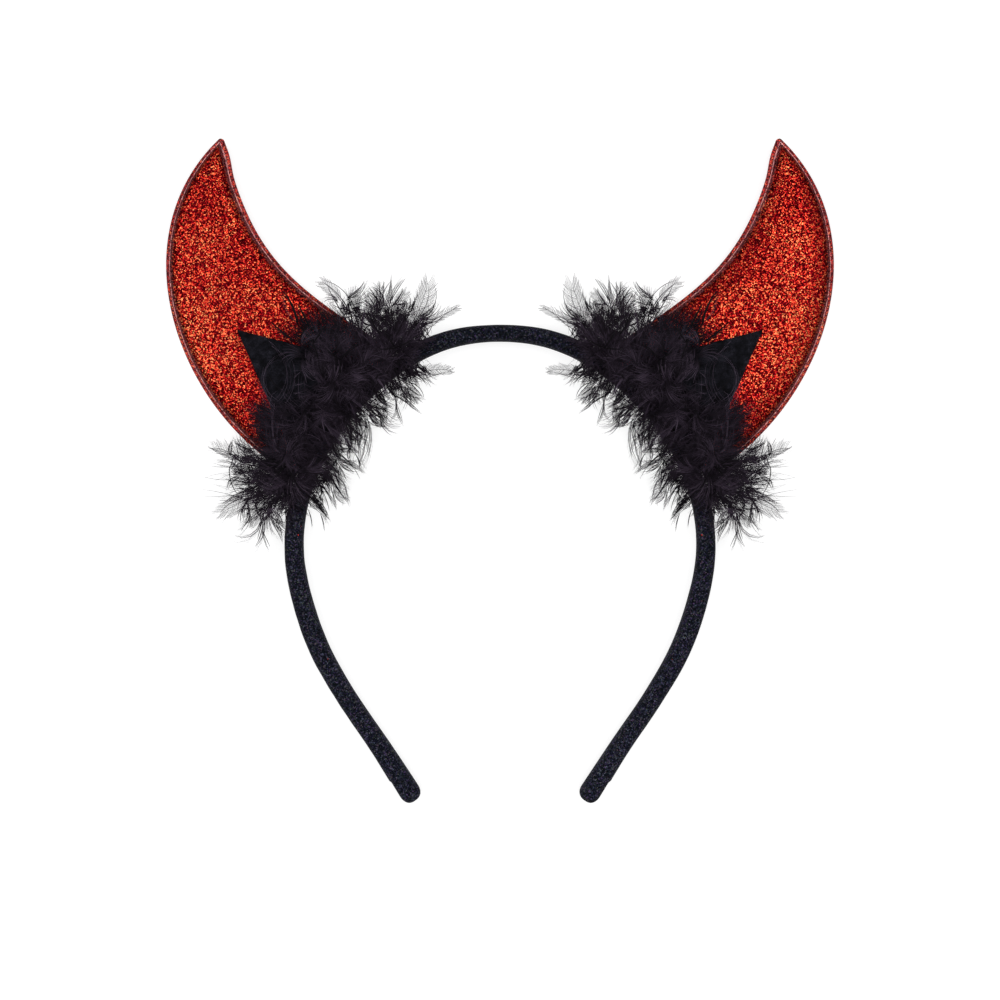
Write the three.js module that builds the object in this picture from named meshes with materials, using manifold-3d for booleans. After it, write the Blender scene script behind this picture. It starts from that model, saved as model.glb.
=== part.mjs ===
// A costume headband: a fabric-covered band, two padded glitter horns, a felt triangle on each horn
// and a strip of feathers over each horn's foot.
// Millimetres. The headband lies on its side: +Y runs from the band's tips to the horns' tips, +X to the
// right as the horns are seen from the front, and +Z up from the surface that the headband lies on.
import * as THREE from 'three';
import { mergeVertices } from 'three/addons/utils/BufferGeometryUtils.js';
import Module from 'manifold-3d';

const wasm = await Module();
wasm.setup();

// Driving dimensions
const gap = 0.3; // between two pieces that touch
const band = {
  depth: 8, // along Z
  tipReach: 3.1, // how far a rounded tip runs past the last station
  squareness: 1.18, // 1 is an oval section; above it the four sides go flat
  steps: 55, // odd, so that the crown's middle is a flat facet
  sides: 16,
  tipSteps: 3,
};
// Half of the band's inner edge, from the crown to a tip, and the band's thickness there.
const bandStations = [
  { x: 0, y: 36.9, thick: 4.8 },
  { x: 13.2, y: 35.2, thick: 5.1 },
  { x: 25.2, y: 29.9, thick: 5.3 },
  { x: 35.7, y: 21.8, thick: 5.4 },
  { x: 45.0, y: 11.5, thick: 5.4 },
  { x: 51.9, y: -1.0, thick: 5.4 },
  { x: 55.3, y: -12.5, thick: 5.4 },
  { x: 55.9, y: -24.0, thick: 5.5 },
  { x: 53.6, y: -36.0, thick: 5.8 },
  { x: 48.6, y: -50.0, thick: 5.9 },
  { x: 41.0, y: -63.5, thick: 5.7 },
  { x: 31.9, y: -76.8, thick: 5.8 },
  { x: 23.3, y: -89.7, thick: 6.4 },
];
const horn = {
  middle: band.depth / 2, // Z of the seam between the two panels
  footFrom: 0.5845, // where the foot meets the band, as shares of the band's length
  footTo: 0.714,
  innerHandles: [[60.7, 53.5], [70.7, 60.9]], // Bezier handles of the edge that faces the other horn
  outerHandles: [[92, 16.5], [110.4, 66]],
  tipInner: [79.0, 94.4],
  tipOuter: [80.4, 94.4],
  tipRise: 0.4, // how far the rounded tip stands above its two corners
  steps: 18,
  padColumns: 3,
};
// How a panel swells from its sealed edge to its middle.
const panelProfile = [
  { name: 'edge', inset: 0, rise: 0.8 },
  { name: 'border', inset: 1.1, rise: 0.95 },
  { name: 'seal', inset: 1.7, rise: 0.55 },
  { name: 'shoulder', inset: 2.8, rise: 1.8 },
  { name: 'pad', inset: 6, rise: 2.6 },
  { name: 'crown', inset: 14, rise: 2.95 },
];
const felt = {
  thick: 1.2,
  apex: [73.8, 39.3],
  footFrom: 0.59, // shares of the band's length
  footTo: 0.725,
  overBand: 0.55, // how much of the band's thickness the foot leaves bare
  footSteps: 8,
};
const spine = {
  radius: 1.4,
  lowest: band.depth + felt.thick + 2 * gap,
  steps: 10,
  sides: 6,
};
const spinePoints = [[28.5, 34.8], [38, 31.8], [46, 26.5], [52.5, 18.5], [57, 9.5], [60, 0.5], [61, -5]];
// Fans of tufts along the spine. The first and last tuft of a fan have their share of the spine's length,
// their heading in degrees from +X and their reach; the tufts between go over from one to the other.
const tuftFans = [
  { name: 'crown_end', at: [0, 0.03], turn: [196, 114], reach: [18, 20], count: 6, rise: 5, droop: 6.5 },
  { name: 'inner_side', at: [0.08, 0.97], turn: [220, 232], reach: [18, 18], count: 11, rise: 4, droop: 6 },
  { name: 'lower_end', at: [0.96, 1], turn: [242, 366], reach: [15, 23], count: 10, rise: 5, droop: 7 },
  { name: 'upper_side', at: [0.04, 0.34], turn: [108, 68], reach: [19, 22], count: 6, rise: 5, droop: 4 },
  { name: 'over_horn', at: [0.36, 0.93], turn: [66, 18], reach: [24, 17], count: 8, rise: 7, droop: 3 },
  { name: 'front', at: [0.06, 0.94], turn: [190, 350], reach: [11, 11], count: 8, rise: 9, droop: 3 },
];
const tuft = {
  width: 6.2,
  thickness: 0.42, // as a share of the width
  sides: 4,
  uneven: 0.1, // how much the reach of neighbouring tufts differs
  unevenStep: 2.4, // radians from a tuft to the next
};
const tuftOutline = [
  { along: 0, width: 0.4 },
  { along: 0.4, width: 0.95 },
  { along: 0.75, width: 0.85 },
  { along: 1, width: 0.12 },
];

const materials = {
  bandCloth: new THREE.MeshStandardMaterial({ color: 0x15171d, roughness: 0.85, metalness: 0 }),
  glitter: new THREE.MeshStandardMaterial({ color: 0xb3241c, roughness: 0.35, metalness: 0.4 }),
  felt: new THREE.MeshStandardMaterial({ color: 0x101113, roughness: 0.95, metalness: 0 }),
  feather: new THREE.MeshStandardMaterial({ color: 0x1c191d, roughness: 0.9, metalness: 0 }),
};

// A closed solid from a geometry, and a geometry from a solid.
function asSolid(geometry) {
  const bare = geometry.clone();
  bare.deleteAttribute('normal');
  bare.deleteAttribute('uv');
  const merged = mergeVertices(bare, 1e-4);
  return new wasm.Manifold(new wasm.Mesh({
    numProp: 3,
    vertProperties: merged.attributes.position.array,
    triVerts: new Uint32Array(merged.index.array),
  }));
}

function asGeometry(solid) {
  const mesh = solid.getMesh();
  const geometry = new THREE.BufferGeometry();
  geometry.setAttribute('position', new THREE.BufferAttribute(mesh.vertProperties, 3));
  geometry.setIndex(new THREE.BufferAttribute(mesh.triVerts, 1));
  return geometry;
}

// The same solid with each flat side in as few triangles as it needs.
function withPlainFlats(geometry) {
  return asGeometry(asSolid(geometry).asOriginal().simplify(1e-3));
}

// Moves every vertex of a geometry to where place(x, y, z) says.
function reshape(geometry, place) {
  const position = geometry.attributes.position;
  for (let i = 0; i < position.count; i++) {
    const moved = place(position.getX(i), position.getY(i), position.getZ(i));
    position.setXYZ(i, moved.x, moved.y, moved.z);
  }
  return geometry;
}

function part(name, geometry, material) {
  const mesh = new THREE.Mesh(geometry, material);
  mesh.name = name;
  return mesh;
}

// A value read from a table by straight lines between its rows.
function readTable(rows, key, column, at) {
  const next = rows.findIndex((row) => row[key] >= at);
  if (next < 0) return rows[rows.length - 1][column];
  if (next === 0) return rows[0][column];
  const low = rows[next - 1];
  const high = rows[next];
  return THREE.MathUtils.mapLinear(at, low[key], high[key], low[column], high[column]);
}

// The band's inner edge from the left tip to the right tip; each point's third number is the thickness.
const bandEdge = new THREE.CatmullRomCurve3([
  ...bandStations.slice(1).reverse().map((row) => new THREE.Vector3(-row.x, row.y, row.thick)),
  ...bandStations.map((row) => new THREE.Vector3(row.x, row.y, row.thick)),
], false, 'centripetal');
bandEdge.arcLengthDivisions = 1000;

// A point of the band: share runs along it, out across it from the inner edge (0) to the outer edge (1).
function onBand(share, out, clear = 0) {
  const edge = bandEdge.getPointAt(share);
  const along = bandEdge.getTangentAt(share).setZ(0).normalize();
  const outward = new THREE.Vector2(-along.y, along.x);
  return new THREE.Vector2(edge.x, edge.y).addScaledVector(outward, edge.z * out + clear);
}

// The band is a capsule bent along the inner edge, its round section squared off so that it has flat sides.
function makeBand() {
  const capsule = new THREE.CapsuleGeometry(1, 2, band.tipSteps, band.sides, band.steps);
  const square = (value) => THREE.MathUtils.clamp(value * band.squareness, -1, 1);
  return reshape(capsule, (x, y, z) => {
    const share = THREE.MathUtils.clamp((y + 1) / 2, 0, 1);
    const past = y - THREE.MathUtils.clamp(y, -1, 1);
    const along = bandEdge.getTangentAt(share).setZ(0).normalize();
    const point = onBand(share, 0.5 - square(x) / 2).addScaledVector(along, past * band.tipReach);
    return new THREE.Vector3(point.x, point.y, (1 + square(z)) * band.depth / 2);
  });
}

const footInner = onBand(horn.footFrom, 1, gap);
const footOuter = onBand(horn.footTo, 1, gap);
const bezier = (from, handles, to) => new THREE.CubicBezierCurve(
  from, new THREE.Vector2(...handles[0]), new THREE.Vector2(...handles[1]), new THREE.Vector2(...to));
const hornInner = bezier(footInner, horn.innerHandles, horn.tipInner);
const hornOuter = bezier(footOuter, horn.outerHandles, horn.tipOuter);

// A point of the horn's outline area: up runs from the foot to the tip, across from inner to outer edge.
function onHorn(up, across) {
  const point = hornInner.getPointAt(up).lerp(hornOuter.getPointAt(up), across);
  const chord = footInner.clone().lerp(footOuter, across);
  const foot = onBand(THREE.MathUtils.lerp(horn.footFrom, horn.footTo, across), 1, gap);
  point.add(foot.sub(chord).multiplyScalar((1 - up) ** 2));
  if (up === 1) point.y += horn.tipRise * Math.sin(Math.PI * across);
  return point;
}

// One padded panel: a box with columns at the profile's insets from both edges and a few more between,
// its outer face raised by the profile.
function makePanel(side) {
  const insets = panelProfile.slice(0, -1).map((row) => row.inset);
  const last = insets.length - 1;
  const columns = 2 * last + 2 + horn.padColumns;
  const box = new THREE.BoxGeometry(1, 1, 1, columns - 1, horn.steps, 1);
  return reshape(box, (x, y, z) => {
    const up = y + 0.5;
    const width = hornInner.getPointAt(up).distanceTo(hornOuter.getPointAt(up));
    const squeeze = Math.min(1, width / (2.2 * insets[last]));
    const pad = insets[last] * squeeze;
    const column = Math.round((x + 0.5) * (columns - 1));
    const back = columns - 1 - column;
    let across = THREE.MathUtils.mapLinear(column, last, columns - 1 - last, pad, width - pad) / width;
    if (column < last) across = insets[column] * squeeze / width;
    if (back < last) across = 1 - insets[back] * squeeze / width;
    const point = onHorn(up, across);
    const fromEdge = Math.min(across, 1 - across) * width;
    const fromTip = point.distanceTo(onHorn(1, 0.5));
    const rise = readTable(panelProfile, 'inset', 'rise', Math.min(fromEdge, fromTip));
    const height = z > 0 ? rise + gap / 2 : gap / 2;
    return new THREE.Vector3(point.x, point.y, horn.middle + side * height);
  });
}

function makeBackPanel() {
  const panel = makePanel(-1);
  panel.index.array.reverse(); // mirrored in Z, so its faces are turned round
  return panel;
}

// The felt triangle lies on the band along its foot and on the horn at its apex.
function makeFelt() {
  const outline = new THREE.Shape();
  const apex = new THREE.Vector2(...felt.apex);
  outline.moveTo(apex.x, apex.y);
  for (let i = 0; i <= felt.footSteps; i++) {
    const share = THREE.MathUtils.lerp(felt.footFrom, felt.footTo, i / felt.footSteps);
    const foot = onBand(share, felt.overBand);
    outline.lineTo(foot.x, foot.y);
  }
  const sheet = new THREE.ExtrudeGeometry(outline, { depth: felt.thick, bevelEnabled: false });
  const foot = onBand((felt.footFrom + felt.footTo) / 2, felt.overBand);
  const climb = apex.clone().sub(foot);
  const onBandTop = band.depth + gap;
  const onHornTop = horn.middle + panelProfile[panelProfile.length - 1].rise + 1.5 * gap;
  return reshape(sheet, (x, y, z) => {
    const up = new THREE.Vector2(x, y).sub(foot).dot(climb) / climb.lengthSq();
    const bottom = THREE.MathUtils.lerp(onBandTop, onHornTop, THREE.MathUtils.clamp(up, 0, 1));
    return new THREE.Vector3(x, y, bottom + z);
  });
}

const spineZ = spine.lowest + spine.radius;
const spineCurve = new THREE.CatmullRomCurve3(
  spinePoints.map(([x, y]) => new THREE.Vector3(x, y, spineZ)), false, 'centripetal');

function makeSpine() {
  const section = new THREE.Shape();
  section.setFromPoints(new THREE.EllipseCurve(0, 0, spine.radius, spine.radius)
    .getSpacedPoints(spine.sides).slice(0, spine.sides));
  const sweep = { steps: spine.steps, extrudePath: spineCurve, bevelEnabled: false };
  return new THREE.ExtrudeGeometry(section, sweep);
}

// One tuft: a tapered prism from the spine outwards that rises and then droops.
function makeTuft(fan, index) {
  const between = (range) => THREE.MathUtils.lerp(range[0], range[1], index / (fan.count - 1));
  const root = spineCurve.getPointAt(between(fan.at));
  const heading = THREE.MathUtils.degToRad(between(fan.turn));
  const ahead = new THREE.Vector3(Math.cos(heading), Math.sin(heading), 0);
  const aside = new THREE.Vector3(-ahead.y, ahead.x, 0);
  const reach = between(fan.reach) * (1 + tuft.uneven * Math.sin(index * tuft.unevenStep));
  const prism = new THREE.CylinderGeometry(1, 1, 1, tuft.sides, tuftOutline.length - 1);
  return reshape(prism, (x, y, z) => {
    const row = tuftOutline[Math.round((y + 0.5) * (tuftOutline.length - 1))];
    const half = tuft.width * row.width / 2;
    const lift = fan.rise * row.along - fan.droop * row.along ** 2;
    return root.clone()
      .addScaledVector(ahead, reach * row.along)
      .addScaledVector(aside, x * half)
      .add(new THREE.Vector3(0, 0, lift - z * half * tuft.thickness));
  });
}

function makeTrim() {
  let trim = asSolid(makeSpine());
  for (const fan of tuftFans) {
    for (let index = 0; index < fan.count; index++) {
      trim = trim.add(asSolid(makeTuft(fan, index)));
    }
  }
  return asGeometry(trim);
}

// One side's pieces, modelled for +X; the left side is the same group mirrored.
const sideShapes = {
  horn_front_panel: [withPlainFlats(makePanel(1)), materials.glitter],
  horn_back_panel: [withPlainFlats(makeBackPanel()), materials.glitter],
  felt_triangle: [makeFelt(), materials.felt],
  feather_trim: [makeTrim(), materials.feather],
};

function makeSide(sideName, mirror) {
  const group = new THREE.Group();
  group.name = sideName;
  group.scale.x = mirror;
  for (const [name, [geometry, material]] of Object.entries(sideShapes)) {
    group.add(part(`${name}_${sideName}`, geometry, material));
  }
  return group;
}

const headband = new THREE.Group();
headband.name = 'headband';
headband.add(part('band', makeBand(), materials.bandCloth));
headband.add(makeSide('right', 1));
headband.add(makeSide('left', -1));

export default headband;
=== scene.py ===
from math import cos, sin, pi, radians

import bmesh
import bpy
import numpy as np
from mathutils import Matrix, Vector, noise


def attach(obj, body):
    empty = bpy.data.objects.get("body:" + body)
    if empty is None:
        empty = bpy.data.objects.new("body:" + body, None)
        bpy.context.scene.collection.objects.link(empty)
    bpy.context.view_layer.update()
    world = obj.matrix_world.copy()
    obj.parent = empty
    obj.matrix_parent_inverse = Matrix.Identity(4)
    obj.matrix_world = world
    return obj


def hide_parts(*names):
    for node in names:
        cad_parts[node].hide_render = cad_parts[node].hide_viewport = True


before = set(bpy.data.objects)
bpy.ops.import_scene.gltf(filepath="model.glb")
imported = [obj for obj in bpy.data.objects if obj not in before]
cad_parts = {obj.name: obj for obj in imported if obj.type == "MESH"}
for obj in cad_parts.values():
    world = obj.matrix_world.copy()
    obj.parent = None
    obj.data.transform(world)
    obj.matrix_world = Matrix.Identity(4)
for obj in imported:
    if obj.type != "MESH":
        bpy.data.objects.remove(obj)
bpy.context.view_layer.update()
mm = 0.001
scene = bpy.context.scene
sides = {"right": 1, "left": -1}  # modelled on +X, the left side is mirrored


# Curves

def smoothLine(points, steps):
    knots = np.array(points, float)
    knots = np.vstack([2 * knots[0] - knots[1], knots, 2 * knots[-1] - knots[-2]])
    t = np.linspace(0, 1, 40, endpoint=False)[:, None]
    dense = []
    for a, b, c, d in zip(knots, knots[1:], knots[2:], knots[3:]):
        ab, bc, cd = (np.sqrt(np.linalg.norm(q - p)) for p, q in ((a, b), (b, c), (c, d)))
        leave = ((b - a) / ab - (c - a) / (ab + bc) + (c - b) / bc) * bc
        arrive = ((c - b) / bc - (d - b) / (bc + cd) + (d - c) / cd) * bc
        dense.append(b + t * leave + t ** 2 * (3 * (c - b) - 2 * leave - arrive)
                     + t ** 3 * (2 * (b - c) + leave + arrive))
    return evenSteps(np.vstack(dense + [knots[-2:-1]]), steps)


def evenSteps(points, steps):
    run = np.append(0, np.cumsum(np.linalg.norm(np.diff(points, axis=0), axis=1)))
    at = np.linspace(0, run[-1], steps + 1)
    return np.stack([np.interp(at, run, column) for column in points.T], axis=1)


def bezierLine(a, b, c, d, steps=400):
    t = np.linspace(0, 1, 600)[:, None]
    a, b, c, d = (np.array(p, float) for p in (a, b, c, d))
    curve = (1 - t) ** 3 * a + 3 * (1 - t) ** 2 * t * b + 3 * (1 - t) * t ** 2 * c + t ** 3 * d
    return evenSteps(curve, steps)


def readLine(line, share):
    at = np.asarray(share) * (len(line) - 1)
    return np.stack([np.interp(at, np.arange(len(line)), column) for column in line.T], axis=-1)


# Pieces

def addPiece(name, mesh, material, node, stands=True):
    piece = bpy.data.objects.new(name, mesh)
    scene.collection.objects.link(piece)
    mesh.materials.clear()
    mesh.materials.append(material)
    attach(piece, "root")
    if stands:
        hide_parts(node)
    return piece


def mirrored(mesh):
    other = mesh.copy()
    other.transform(Matrix.Scale(-1, 4, (1, 0, 0)))
    other.flip_normals()
    return other


def rolledGrid(around, along, place, size, edgeInset=None):
    # a grid rolled into a closed tube: place(u, v) gives a point in millimetres, size its girth and length
    bm = bmesh.new()
    uvLayer = bm.loops.layers.uv.new("UVMap")
    insetLayer = bm.verts.layers.float.new("fromEdge")
    bmesh.ops.create_grid(bm, x_segments=around, y_segments=along, size=0.5)
    for face in bm.faces:
        for loop in face.loops:
            u, v = loop.vert.co.x + 0.5, loop.vert.co.y + 0.5
            loop[uvLayer].uv = (u * size[0] * mm, v * size[1] * mm)
    for vert in bm.verts:
        u, v = vert.co.x + 0.5, vert.co.y + 0.5
        if edgeInset:
            vert[insetLayer] = edgeInset(u, v)
        vert.co = Vector(place(u, v)) * mm
    bmesh.ops.remove_doubles(bm, verts=bm.verts, dist=1e-6)
    bmesh.ops.dissolve_degenerate(bm, edges=bm.edges, dist=1e-7)
    rims = [edge for edge in bm.edges if edge.is_boundary]
    if rims:
        bmesh.ops.holes_fill(bm, edges=rims, sides=0)
    bmesh.ops.recalc_face_normals(bm, faces=bm.faces)
    for face in bm.faces:
        face.smooth = True
    return bm


def meshOf(bm, name):
    mesh = bpy.data.meshes.new(name)
    bm.to_mesh(mesh)
    bm.free()
    return mesh


def strandMesh(name, paths, radii, tones):
    # closed three-sided strands that end in a point: paths (strand, step, 3) and radii (strand, step) in mm
    count, steps = radii.shape
    tangent = np.gradient(paths, axis=1)
    tangent /= np.linalg.norm(tangent, axis=2, keepdims=True) + 1e-9
    across = np.cross(tangent, np.array([0.13, 0.07, 1.0]))
    across /= np.linalg.norm(across, axis=2, keepdims=True) + 1e-9
    raised = np.cross(tangent, across)
    corners = [pi / 2, pi * 7 / 6, pi * 11 / 6]
    rings = [paths + radii[..., None] * (cos(a) * across + sin(a) * raised) for a in corners]
    rings = np.stack(rings, axis=2)[:, :-1].reshape(count, -1, 3)
    verts = np.concatenate([rings, paths[:, -1:]], axis=1)
    perStrand = verts.shape[1]
    faces = [[2, 1, 0]]
    for ring in range(steps - 2):
        for corner in range(3):
            a, b = ring * 3 + corner, ring * 3 + (corner + 1) % 3
            faces += [[a, b, b + 3], [a, b + 3, a + 3]]
    last = (steps - 2) * 3
    faces += [[last + c, last + (c + 1) % 3, perStrand - 1] for c in range(3)]
    faces = np.array(faces)[None] + (np.arange(count) * perStrand)[:, None, None]
    mesh = bpy.data.meshes.new(name)
    mesh.from_pydata(verts.reshape(-1, 3) * mm, [], faces.reshape(-1, 3), shade_flat=False)
    tone = mesh.attributes.new("tone", "FLOAT", "POINT")
    tones = np.broadcast_to(np.reshape(tones, (count, -1)), (count, steps))  # one for a strand, or one a step
    tones = np.concatenate([np.repeat(tones[:, :-1], 3, axis=1), tones[:, -1:]], axis=1)
    tone.data.foreach_set("value", tones.ravel().astype(np.float32))
    return mesh


# Node helpers

def newMaterial(name, baseColor, roughness):
    material = bpy.data.materials.new(name)
    material.use_nodes = True
    shader = material.node_tree.nodes["Principled BSDF"]
    shader.inputs["Base Color"].default_value = (*baseColor, 1)
    shader.inputs["Roughness"].default_value = roughness
    return material, material.node_tree, shader


def addNode(tree, kind, inputs=None, **settings):
    node = tree.nodes.new("ShaderNode" + kind)
    for key, value in settings.items():
        setattr(node, key, value)
    for key, value in (inputs or {}).items():
        if hasattr(value, "is_linked"):
            tree.links.new(value, node.inputs[key])
        else:
            node.inputs[key].default_value = value
    return node


def addMath(tree, operation, *values):
    return addNode(tree, "Math", dict(enumerate(values)), operation=operation).outputs[0]


def addRange(tree, value, *ends):
    return addNode(tree, "MapRange", {"Value": value, **dict(enumerate(ends, 1))}).outputs[0]


def addRamp(tree, factor, stops):
    # a stop is a place and a colour, or a place and a grey
    node = addNode(tree, "ValToRGB", {"Fac": factor})
    ramp = node.color_ramp
    while len(ramp.elements) < len(stops):
        ramp.elements.new(1)
    for element, (position, color) in zip(ramp.elements, stops):
        element.position = position
        element.color = (*color, 1) if isinstance(color, tuple) else (color, color, color, 1)
    return node.outputs["Color"]


def mixColor(tree, factor, a, b, blend="MIX"):
    node = addNode(tree, "Mix", data_type="RGBA", blend_type=blend)
    for index, value in ((0, factor), (6, a), (7, b)):
        if hasattr(value, "is_linked"):
            tree.links.new(value, node.inputs[index])
        else:
            node.inputs[index].default_value = value if index == 0 else (*value, 1)
    return node.outputs[2]


def makeCellGrain():
    # a random tone and colour for each small cell, shared by the cloths
    group = bpy.data.node_groups.new("cellGrain", "ShaderNodeTree")
    group.interface.new_socket("Vector", in_out="INPUT", socket_type="NodeSocketVector")
    group.interface.new_socket("Scale", in_out="INPUT", socket_type="NodeSocketFloat")
    group.interface.new_socket("Tone", in_out="OUTPUT", socket_type="NodeSocketFloat")
    group.interface.new_socket("Color", in_out="OUTPUT", socket_type="NodeSocketColor")
    given, result = group.nodes.new("NodeGroupInput"), group.nodes.new("NodeGroupOutput")
    cells = addNode(group, "TexVoronoi", {"Vector": given.outputs["Vector"], "Scale": given.outputs["Scale"]})
    tone = addNode(group, "SeparateColor", {"Color": cells.outputs["Color"]}).outputs[0]
    group.links.new(tone, result.inputs["Tone"])
    group.links.new(cells.outputs["Color"], result.inputs["Color"])
    return group


cellGrain = makeCellGrain()


def addGrain(tree, spot, scale):
    return addNode(tree, "Group", {"Vector": spot, "Scale": scale}, node_tree=cellGrain).outputs


# Band: cloth round a springy core

bandLook = {
    "depth": 8,
    "stations": [  # half of the inner edge from the crown to a tip: x, y, thickness
        (0, 36.9, 4.8), (13.2, 35.2, 5.1), (25.2, 29.9, 5.3), (35.7, 21.8, 5.4), (45.0, 11.5, 5.4),
        (51.9, -1.0, 5.4), (55.3, -12.5, 5.4), (55.9, -24.0, 5.5), (53.6, -36.0, 5.8), (48.6, -50.0, 5.9),
        (41.0, -63.5, 5.7), (31.9, -76.8, 5.8), (23.3, -89.7, 6.4),
    ],
    "tipReach": 3.1,
    "tipRows": 8,
    "lapFromTip": 5.5,  # where the cloth's folded end shows as a small step
    "lapStep": 0.3,
    "squareness": 0.72,  # 1 is an oval section, less is squarer
    "girth": 21,
    "around": 40,
    "along": 420,
    "waviness": 0.07,
    "threadScale": 820.0,
    "grainScale": 3000.0,
}
stations = bandLook["stations"]
bandEdge = smoothLine([(-x, y, t) for x, y, t in stations[:0:-1]] + stations, 2000)
bandSlope = np.gradient(bandEdge[:, :2], axis=0)
bandSlope /= np.linalg.norm(bandSlope, axis=1, keepdims=True)
bandLength = np.linalg.norm(np.diff(bandEdge, axis=0), axis=1).sum()


def onBand(share, out, clear=0.0):
    edge = readLine(bandEdge, share)
    slope = readLine(bandSlope, share)
    return edge[:2] + np.array([-slope[1], slope[0]]) * (edge[2] * out + clear)


def bandPoint(u, v):
    row = v * bandLook["along"]
    tipRows = bandLook["tipRows"]
    fromEnd = min(row, bandLook["along"] - row)
    turn = min(fromEnd / tipRows, 1) * pi / 2
    share = min(max((row - tipRows) / (bandLook["along"] - 2 * tipRows), 0), 1)
    end = -1 if v < 0.5 else 1
    swell = sin(turn) ** 0.75
    square = bandLook["squareness"]
    across, high = cos(u * 2 * pi), sin(u * 2 * pi)
    across = np.sign(across) * abs(across) ** square * swell
    high = np.sign(high) * abs(high) ** square * swell
    out = (1 + across) / 2
    if min(share, 1 - share) * bandLength < bandLook["lapFromTip"] and across > 0:
        out -= across * bandLook["lapStep"] / 6
    x, y = onBand(share, out) + readLine(bandSlope, share) * end * bandLook["tipReach"] * cos(turn)
    ripple = bandLook["waviness"] * noise.noise(Vector((x * 0.25, y * 0.25, high * 0.7)))
    return x + ripple * across * 0.7, y + ripple * across * 0.7, (1 + high) * bandLook["depth"] / 2


def bandCloth():
    material, tree, shader = newMaterial("bandCloth", (0.012, 0.013, 0.018), 0.72)
    uv = addNode(tree, "TexCoord").outputs["UV"]
    spot = addNode(tree, "TexCoord").outputs["Object"]
    threads = {"Vector": uv, "Scale": bandLook["threadScale"], "Distortion": 1.2}
    threads.update({"Detail": 2.0, "Detail Scale": 4.0})
    warp = addNode(tree, "TexWave", threads, bands_direction="X").outputs["Fac"]
    weft = addNode(tree, "TexWave", threads, bands_direction="Y").outputs["Fac"]
    weave = addMath(tree, "MULTIPLY", warp, weft)
    grain = addGrain(tree, spot, bandLook["grainScale"])
    tint = addRamp(tree, grain["Tone"], [(0.1, (0.0018, 0.0022, 0.0047)), (0.5, (0.0095, 0.012, 0.023)),
                                         (0.8, (0.031, 0.038, 0.063)), (1.0, (0.083, 0.099, 0.142))])
    tint = mixColor(tree, 0.55, tint, grain["Color"], "MULTIPLY")  # threads of slightly other colours
    tint = mixColor(tree, 0.5, tint, weave, "MULTIPLY")
    downBand = addNode(tree, "SeparateXYZ", {"Vector": spot}).outputs["Y"]
    paleTowardTips = addRange(tree, downBand, 0.04, -0.09, 0.88, 1.4)  # paler tips
    tree.links.new(mixColor(tree, 1.0, tint, paleTowardTips, "MULTIPLY"), shader.inputs["Base Color"])
    relief = addMath(tree, "ADD", weave, grain["Tone"])
    bump = addNode(tree, "Bump", {"Height": relief, "Strength": 0.5, "Distance": 0.0003})
    tree.links.new(bump.outputs["Normal"], shader.inputs["Normal"])
    shader.inputs["Specular IOR Level"].default_value = 0.05
    return material


bandShape = rolledGrid(bandLook["around"], bandLook["along"], bandPoint, (bandLook["girth"], bandLength))
band = addPiece("bandCover", meshOf(bandShape, "bandCover"), bandCloth(), "band")
print("band:", len(band.data.polygons), "faces")


# Horns: two padded panels each, sealed round the edge

hornLook = {
    "length": 105,
    "girth": 90,
    "foot": (0.5845, 0.714),  # shares of the band's length
    "innerHandles": ((60.7, 53.5), (70.7, 60.9)),
    "outerHandles": ((92, 16.5), (109.7, 66)),
    "tipInner": (79.0, 94.4),
    "tipOuter": (80.4, 94.4),
    "tipRise": 0.4,
    "tipRound": 1.75,  # how far down from the tip it is rounded
    "gap": 0.3,
    "middle": 4,
    "seam": 0.08,  # half of the gap between the panels
    "insets": (0, 0.2, 0.5, 0.8, 1.0, 1.15, 1.3, 1.55, 2.0, 2.8, 4.2),  # columns next to each edge
    "padColumns": 18,
    "rows": 96,
    "rowCrowding": 1.5,  # more rows towards the tip
    "profile": [  # inset from the edge, rise above the seam
        (0, 0.5), (0.2, 0.72), (0.5, 0.85), (0.8, 0.8), (1.0, 0.58), (1.15, 0.5), (1.3, 0.58), (1.55, 0.95),
        (2, 1.4), (2.8, 1.85), (4.2, 2.2), (6, 2.42), (10, 2.6), (14, 2.65), (40, 2.65),
    ],
    "tipSwell": 0.65,  # the concave edge bulges just under the tip
    "swellAt": 6,
    "footRound": 1.2,
    "fleckScale": 3300.0,
    "dustScale": 4600.0,
    "lineScale": 1100.0,  # of the breaks in the pale highlight painted along the pressed line
    "paintedLightAt": (0.084, 0.04, 0.004),  # where a pool of light is painted into the cloth's colour
}
hornFoot = [onBand(share, 1, hornLook["gap"]) for share in hornLook["foot"]]
hornInner = bezierLine(hornFoot[0], *hornLook["innerHandles"], hornLook["tipInner"])
hornOuter = bezierLine(hornFoot[1], *hornLook["outerHandles"], hornLook["tipOuter"])


def onHorn(up, across):
    point = readLine(hornInner, up) * (1 - across) + readLine(hornOuter, up) * across
    chord = hornFoot[0] * (1 - across) + hornFoot[1] * across
    share = hornLook["foot"][0] * (1 - across) + hornLook["foot"][1] * across
    point = point + (onBand(share, 1, hornLook["gap"]) - chord) * (1 - up) ** 2
    fromTip = (1 - up) * hornLook["length"]
    crest = max(0, 1 - fromTip / hornLook["tipRound"]) * hornLook["tipRise"] * sin(pi * across)
    bulge = hornLook["tipSwell"] * np.exp(-(fromTip / hornLook["swellAt"] - 1) ** 2) * (1 - across) ** 2
    return point + np.array([-bulge, crest])


hornColumns = 2 * len(hornLook["insets"]) + hornLook["padColumns"]
hornRing = [(k, True) for k in range(hornColumns)]  # over the top, then back along the seam
hornRing += [(k, False) for k in reversed(range(hornColumns))] + [(0, True)]
hornProfile = np.array(hornLook["profile"])


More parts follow.
